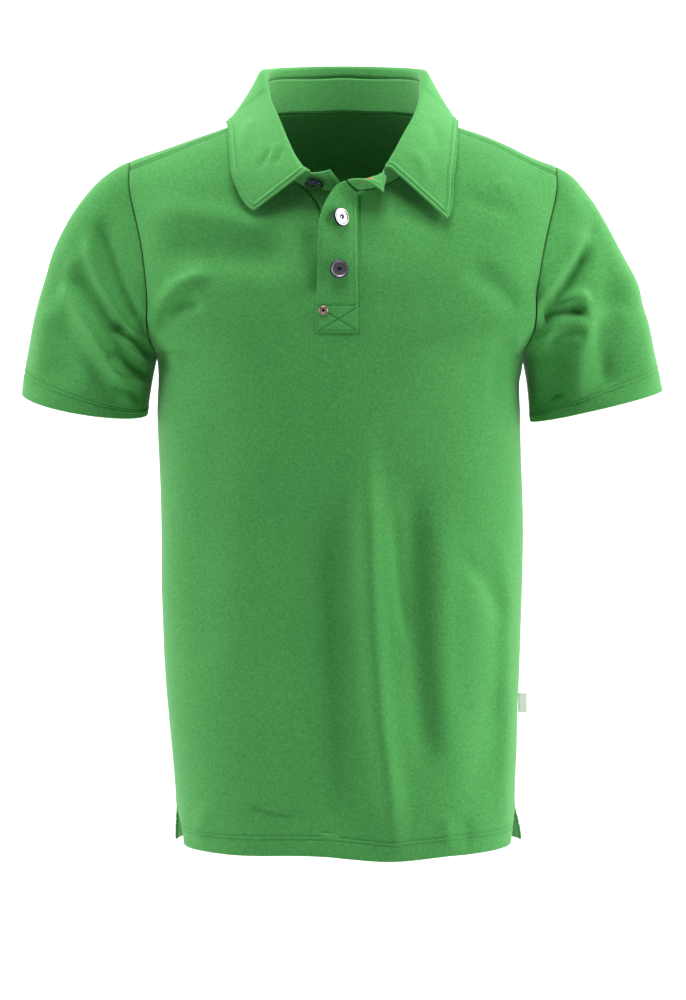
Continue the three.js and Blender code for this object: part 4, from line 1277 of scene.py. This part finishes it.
def makeStand():
    places = steps(0, lastStation, lastStation * 10)
    rows = steps(collar["standFoot"], 1, collar["standRows"])
    grid = [[standPoint(at, w) for w in rows] for at in places]
    grid = respaceRows(grid, nearEdge, collar["standColumns"])
    normals = gridNormals(grid, -1)
    count = len(grid)

    def detail(i, j, p):
        fromTop = (grid[i][-1] - grid[i][j]).length
        covered = 0.05 * count < i < 0.84 * count
        return stitchedEdge(min(distanceFromEnds(i, count), 99 if covered else fromTop))

    grid = raiseGrid(grid, normals, detail)
    surface = (list(range(count)), rows, grid, gridNormals(grid, -1))
    flats = ([i * 1.9 for i in range(count)], [w * 30 for w in rows])
    piece = makeCloth("collarStand", grid, flats, collar["thickness"], -1)
    finishPiece(piece, "collar_stand", collarPiquePaintedLight)
    return piece, surface


# The leaf's rows: a share of the stretch before the fold, over it or down from it, or a length from the edge
def leafRows():
    over = [(0, 0), (0, 0.5)] + [(1, t) for t in steps(0, 1, 10)]
    return over + [(2, t) for t in steps(0, 1, 22)[1:]] + [(3, length) for length in reversed(nearEdge[:-1])]


def makeLeaf():
    places = steps(collar["leafFirst"], collar["leafLast"], 190)
    rows = leafRows()
    grid = []
    for at in places:
        section = collarSection(at)
        rise, over, fall = section["lengths"]
        start = section["stand"] + worn["seamGap"]
        spans = (
            (start, rise - start),
            (rise, over),
            (rise + over, fall - nearEdge[-1]),
            (rise + over + fall, -1),
        )
        grid.append([section["place"](spans[kind][0] + spans[kind][1] * t) for kind, t in rows])
    grid = respaceRows(grid, nearEdge, collar["leafColumns"])
    normals = gridNormals(grid, -1)
    count = len(grid)

    def detail(i, j, p):
        kind, t = rows[j]
        toEdge = t if kind == 3 else 99
        fall = 1 if kind == 3 else smooth(t * 4) if kind == 2 else 0
        total = stitchedEdge(min(toEdge, distanceFromEnds(i, count)))
        front = smooth(-p.y / 20)
        return total + foldDepth(small["leaf"], p.x, p.z) * fall * front + uneven(p) * 0.7 * fall

    grid = raiseGrid(grid, normals, detail)
    surface = (list(range(count)), list(range(len(rows))), grid, gridNormals(grid, -1))
    flats = ([i * 2.2 for i in range(count)], [j * 1.9 for j in range(len(rows))])
    piece = makeCloth("collarLeaf", grid, flats, collar["thickness"], -1)
    finishPiece(piece, "collar_leaf", collarPiquePaintedLight)
    return piece, surface


collarStand, standSurface = makeStand()
collarLeaf, leafSurface = makeLeaf()
print("collar made")

# Sewing: rows of short threads that lie in their grooves
sewing = {"pitch": 2.8, "length": 2.1, "radius": 0.3, "sink": 0.05, "run": 40}


def walk(path, pitch):
    # places every pitch along a path of points and normals
    places = []
    left = pitch / 2
    for (a, n), (b, m) in zip(path, path[1:]):
        span = (b - a).length
        while left <= span and span > 0:
            t = left / span
            places.append((a.lerp(b, t), n.lerp(m, t).normalized(), (b - a).normalized()))
            left += pitch
        left -= span
    return places


# One stitch, a slim ellipsoid that lies along its row
def addStitch(bm, point, along, up, half):
    side = up.cross(along).normalized()
    turn = Matrix((along, side, along.cross(side))).transposed().to_4x4()
    place = Matrix.Translation(point * metre) @ turn @ Matrix.Diagonal((*half, 1))
    lying = Matrix.Rotation(math.pi / 2, 4, "Y")
    bmesh.ops.create_uvsphere(bm, u_segments=6, v_segments=4, radius=metre, matrix=place @ lying)


# Stitches are made in short runs, because an operator slows down as its mesh grows
def addStitches(name, material, stitches, half):
    whole = bmesh.new()
    for first in range(0, len(stitches), sewing["run"]):
        run = bmesh.new()
        for point, along, up in stitches[first : first + sewing["run"]]:
            addStitch(run, point, along, up, half)
        for face in run.faces:
            face.smooth = True
        piece = bpy.data.meshes.new("run")
        run.to_mesh(piece)
        run.free()
        whole.from_mesh(piece)
        bpy.data.meshes.remove(piece)
    mesh = bpy.data.meshes.new(name)
    whole.to_mesh(mesh)
    whole.free()
    return finishPiece(addObject(name, mesh), None, material)


def sewPiece(name, material, paths):
    stitches = []
    for path in paths:
        for point, normal, along in walk(path, sewing["pitch"]):
            stitches.append((point + normal * sewing["sink"], along, normal))
    half = (sewing["length"] / 2, sewing["radius"], sewing["radius"])
    return addStitches(name, material, stitches, half)


def pathOn(surface, places):
    return [onGrid(surface, u, v) for u, v in places]


def sewBody():
    paths = []
    inset = 1 - ventStitch / panelHalfWidth
    for surface in (frontSurface, backSurface):
        for line in panels["hemStitches"]:
            paths.append(pathOn(surface, [(u, line / bodyLength) for u in steps(-inset, inset, 300)]))
        for side in (-1, 1):
            paths.append(pathOn(surface, [(side * inset, v) for v in steps(0.004, ventRow, 40)]))
    shoulderRow = 2 - panels["shoulderStitch"] / shoulderLength["front"]
    for side in (-1, 1):
        shoulder = [(side * a, shoulderRow) for a in steps(worn["neckShare"] + 0.02, 0.985, 80)]
        paths.append(pathOn(frontSurface, shoulder))
    for surface in (sleeveLeftSurface, sleeveRightSurface):
        for line in sleeves["hemStitches"]:
            row = (line - turned["radius"]) / sleeves["length"]
            paths.append(pathOn(surface, [(around, row) for around in steps(0, 1, 300)]))
    return sewPiece("stitchingBody", greenThread, paths)


def sewPlackets():
    right, left = placketSides(plackets["footZ"])
    width = left - right
    height = placketTopZ - plackets["footZ"]
    box = plackets["boxHeight"]
    inset = plackets["stitchIn"]

    def across(x):
        return x / width

    def up(z):
        return z / height

    corners = [(2, box), (2, 2), (width - inset, 2), (width - inset, box), (2, box)]
    lines = [
        [(width - inset, 2), (width - inset, height - 3)],
        [(2, box), (width - inset, 2)],
        [(2, 2), (width - inset, box)],
    ]
    paths = []
    for line in [corners] + lines:
        places = []
        for (x0, z0), (x1, z1) in zip(line, line[1:]):
            places += [(across(mix(x0, x1, t)), up(mix(z0, z1, t))) for t in steps(0, 1, 40)]
        paths.append(pathOn(topPlacketSurface, places))
    _, rows, grid, _ = underPlacketSurface
    inset = plackets["underStitchIn"]
    places = [(inset / (grid[-1][j] - grid[0][j]).length, v) for j, v in enumerate(rows) if v > 1.5]
    paths.append(pathOn(underPlacketSurface, places))
    beside = [(slot["left"] + 0.012, v) for v in steps(1.02 + slot["foot"], 1.97, 60)]
    paths.append(pathOn(frontSurface, beside))
    return sewPiece("stitchingPlacket", greenThread, paths)


def sewCollar():
    columns, rows, _, _ = leafSurface
    near = nearEdge.index(collar["edgeStitch"])
    last, bottom, overFold = len(columns) - 1, len(rows) - 1, 8
    path = [(near, j) for j in range(overFold, bottom - near)]
    path += [(i, bottom - near) for i in range(near, last - near + 1)]
    path += [(last - near, j) for j in range(bottom - near - 1, overFold, -1)]
    end = len(standSurface[0]) - 1 - near
    stand = [(end, w) for w in steps(0.12, 0.9, 20)]
    paths = [pathOn(leafSurface, path), pathOn(standSurface, stand)]
    return sewPiece("stitchingCollar", greenThread, paths)


sewBody()
sewPlackets()
sewCollar()
print("sewing made")

# Metal shank buttons: a turned cap with a raised rim, a shallow dish and a small sunk eye
buttons = {
    "seat": 0.9,
    "segments": 64,
    "placket": (("buttonUpper", "button_upper", -4.5, -122, (0.26, 0, 0.05)),
                ("buttonLower", "button_lower", -4, -169.4, (0.06, 0, 0))),
    "standAt": 0.88,
    "standShare": 0.58,
    "standTilt": (0.03, 0.33, -0.2),
}
# Profiles as (radius, height, material): the material is that of the stretch up to the next point
buttonProfile = (
    (0, 0, 2), (3, 0, 2), (3, 2.6, 2), (8.1, 2.6, 2), (8.7, 2.8, 2), (9, 3.3, 2),
    (9, 4.1, 2), (8.8, 4.6, 2), (8.3, 4.95, 0), (7.7, 5.0, 0), (7.2, 4.86, 1), (6.8, 4.55, 0),
    (5.4, 4.48, 0), (4.2, 4.5, 1), (3.9, 4.42, 0), (3.1, 4.5, 0), (2.5, 4.72, 2), (2.1, 4.7, 2),
    (1.7, 4.3, 2), (1.2, 4.0, 2), (0.6, 4.05, 0), (0, 4.1, 0),
)
rivet = {"x": -18.6, "z": -208, "seat": 0.4}
rivetProfile = (
    (0, 0, 0), (4.1, 0, 0), (4.45, 0.25, 0), (4.5, 0.6, 0), (4.2, 1.15, 0), (3.5, 1.55, 0), (2.6, 1.6, 0),
    (2.0, 1.35, 0), (1.7, 0.9, 1), (1.5, 0.7, 1), (0, 0.7, 1),
)


def spinProfile(name, profile, segments, place, materials, node):
    bm = bmesh.new()
    verts = [bm.verts.new((radius, 0, height)) for radius, height, _ in profile]
    edges = [bm.edges.new(pair) for pair in zip(verts, verts[1:])]
    turn = 2 * math.pi
    geom = verts + edges
    bmesh.ops.spin(bm, geom=geom, axis=(0, 0, 1), cent=(0, 0, 0), angle=turn, steps=segments, use_merge=True)
    bmesh.ops.remove_doubles(bm, verts=bm.verts, dist=1e-4)
    bmesh.ops.recalc_face_normals(bm, faces=bm.faces)
    heights = [(radius, height) for radius, height, _ in profile]
    for face in bm.faces:
        centre = face.calc_center_median()
        radius = math.hypot(centre.x, centre.y)
        spans = [
            (abs(radius - (a[0] + b[0]) / 2) + abs(centre.z - (a[1] + b[1]) / 2), k)
            for k, (a, b) in enumerate(zip(heights, heights[1:]))
        ]
        face.material_index = profile[min(spans)[1]][2]
        face.smooth = True
    bm.transform(place)
    mesh = bpy.data.meshes.new(name)
    bm.to_mesh(mesh)
    bm.free()
    mesh.set_sharp_from_angle(angle=math.radians(50))
    made = addObject(name, mesh)
    finishPiece(made, node, materials[0])
    for material in materials[1:]:
        made.data.materials.append(material)
    return made


def standOn(point, direction, gap):
    turn = Vector((0, 0, 1)).rotation_difference(direction).to_matrix().to_4x4()
    return Matrix.Translation((point + direction * gap) * metre) @ turn @ Matrix.Scale(metre, 4)


def onTopPlacket(x, z):
    right, left = placketSides(z)
    share = (x - right) / (left - right)

    def at(da, dz):
        return topPlacketPoint(share + da, z + dz, plackets["offFront"])

    return at(0, 0), (at(0.1, 0) - at(-0.1, 0)).cross(at(0, 2) - at(0, -2)).normalized()


buttonMetals = (pewterPlate, dullPewter, blackenedMetal)
for name, node, x, z, lean in buttons["placket"]:
    point, direction = onTopPlacket(x, z)
    place = standOn(point, (direction + Vector(lean)).normalized(), buttons["seat"])
    spinProfile(name, buttonProfile, buttons["segments"], place, buttonMetals, node)


def onStand(at, w):
    across = standPoint(at + 0.05, w) - standPoint(at - 0.05, w)
    along = standPoint(at, w + 0.05) - standPoint(at, w - 0.05)
    return standPoint(at, w), along.cross(across).normalized()


point, direction = onStand(buttons["standAt"], mix(collar["standFoot"], 1, buttons["standShare"]))
place = standOn(point, (direction + Vector(buttons["standTilt"])).normalized(), buttons["seat"])
segments = buttons["segments"]
spinProfile("buttonStand", buttonProfile, segments, place, buttonMetals, "button_stand")

point, direction = onTopPlacket(rivet["x"], rivet["z"])
place = standOn(point, direction, rivet["seat"])
spinProfile("rivetRing", rivetProfile, 48, place, (copperPlate, blackenedMetal), "rivet")
print("buttons and rivet made")

# The buttonhole in the turned end of the stand: bars of orange thread across the hole, on both faces
buttonhole = {"at": 17.62, "low": 0.3, "high": 0.62, "half": (1.9, 0.34, 0.34), "count": 20, "off": 0.2}


def makeButtonhole():
    stitches = []
    for share in steps(buttonhole["low"], buttonhole["high"], buttonhole["count"]):
        point, normal = onStand(buttonhole["at"], share)
        along = standPoint(buttonhole["at"], share + 0.02) - point
        across = normal.cross(along).normalized()
        for off in (buttonhole["off"], -collar["thickness"] - buttonhole["off"]):
            stitches.append((point + normal * off, across, normal))
    return addStitches("buttonholeThread", orangeThread, stitches, buttonhole["half"])


makeButtonhole()

# The label: a plain white tape folded in half and caught in the side seam
label = {"topZ": -581, "height": 19, "reach": 9, "thickness": 1.2, "tape": 0.45, "gap": 0.5}


def makeLabel():
    bottom = label["topZ"] - label["height"]
    edge = max(shiftAt(z) + halfAt(z) for z in (bottom, label["topZ"])) + label["gap"]
    radius = (label["thickness"] - label["tape"]) / 2
    straight = label["reach"] - label["thickness"] / 2
    path = [(x, -radius) for x in steps(0, straight, 6)]
    path += [(straight + radius * math.sin(a), -radius * math.cos(a)) for a in steps(0, math.pi, 8)[1:-1]]
    path += [(x, radius) for x in steps(straight, 0, 6)]
    rows = steps(bottom, label["topZ"], 12)
    grid = []
    for x, y in path:
        flare = 0.5 * smooth(x / straight)
        grid.append([Vector((edge + x, y + flare * math.sin((z - bottom) / 6), z)) for z in rows])
    flats = (steps(0, 2 * label["reach"], len(path) - 1), steps(0, label["height"], 12))
    piece = makeCloth("sideLabel", grid, flats, label["tape"])
    return finishPiece(piece, "side_label", whiteTape)


sideLabel = makeLabel()
print("buttonhole and label made")


# A pale studio: floor and backdrop in one sweep, large soft lights at both sides, above and in front
studio = {
    "floorZ": -1.42,
    "backY": 1.9,
    "sweep": 0.7,
    "halfWidth": 6.0,
    "frontY": -5.0,
    "paper": "#f4f4f4",
    "world": 0.05,
    "lights": (
        ("left", (-2.1, -0.5, 0.3), (1.0, 2.2), 33),
        ("right", (2.1, -0.5, 0.3), (1.0, 2.2), 50),
        ("above", (0, -0.6, 2.4), (1.4, 1.4), 84),
        ("backdropLeft", (-2.2, 0.9, 0.6), (1.2, 2.4), 45),
        ("backdropRight", (2.2, 0.9, 0.6), (1.2, 2.4), 45),
    ),
}


def makeStudio():
    bm = bmesh.new()
    profile = [(studio["frontY"], studio["floorZ"])]
    turn = studio["sweep"]
    for angle in steps(0, math.pi / 2, 16):
        y = studio["backY"] - turn + turn * math.sin(angle)
        profile.append((y, studio["floorZ"] + turn - turn * math.cos(angle)))
    profile.append((studio["backY"], 3.0))
    verts = [bm.verts.new((-studio["halfWidth"], y, z)) for y, z in profile]
    edges = [bm.edges.new(pair) for pair in zip(verts, verts[1:])]
    grown = bmesh.ops.extrude_edge_only(bm, edges=edges)["geom"]
    moved = [item for item in grown if isinstance(item, bmesh.types.BMVert)]
    bmesh.ops.translate(bm, verts=moved, vec=(2 * studio["halfWidth"], 0, 0))
    for face in bm.faces:
        face.smooth = True
    mesh = bpy.data.meshes.new("studioSweep")
    bm.to_mesh(mesh)
    bm.free()
    sweep = addObject("studioSweep", mesh)
    paper, tree = newMaterial("paleBackgroundPaper")
    looks = {"Base Color": linear(studio["paper"]), "Roughness": 0.9}
    shader = addNode(tree, "ShaderNodeBsdfPrincipled", looks)
    finishMaterial(tree, shader)
    mesh.materials.append(paper)
    world = bpy.data.worlds.new("studioWorld")
    world.use_nodes = True
    world.node_tree.nodes["Background"].inputs["Color"].default_value = (1, 1, 1, 1)
    world.node_tree.nodes["Background"].inputs["Strength"].default_value = studio["world"]
    bpy.context.scene.world = world
    for name, place, size, power in studio["lights"]:
        data = bpy.data.lights.new(name, "AREA")
        data.shape = "RECTANGLE"
        data.size, data.size_y = size
        data.energy = power
        lamp = bpy.data.objects.new(name, data)
        lamp.location = place
        aim = Vector((0, 1.6, -0.3)) if name.startswith("backdrop") else Vector((0, 0, -0.35))
        lamp.rotation_euler = (aim - Vector(place)).to_track_quat("-Z", "Y").to_euler()
        bpy.context.scene.collection.objects.link(lamp)


makeCamera()
makeStudio()
bpy.context.scene.view_settings.view_transform = "Standard"
print("studio made")
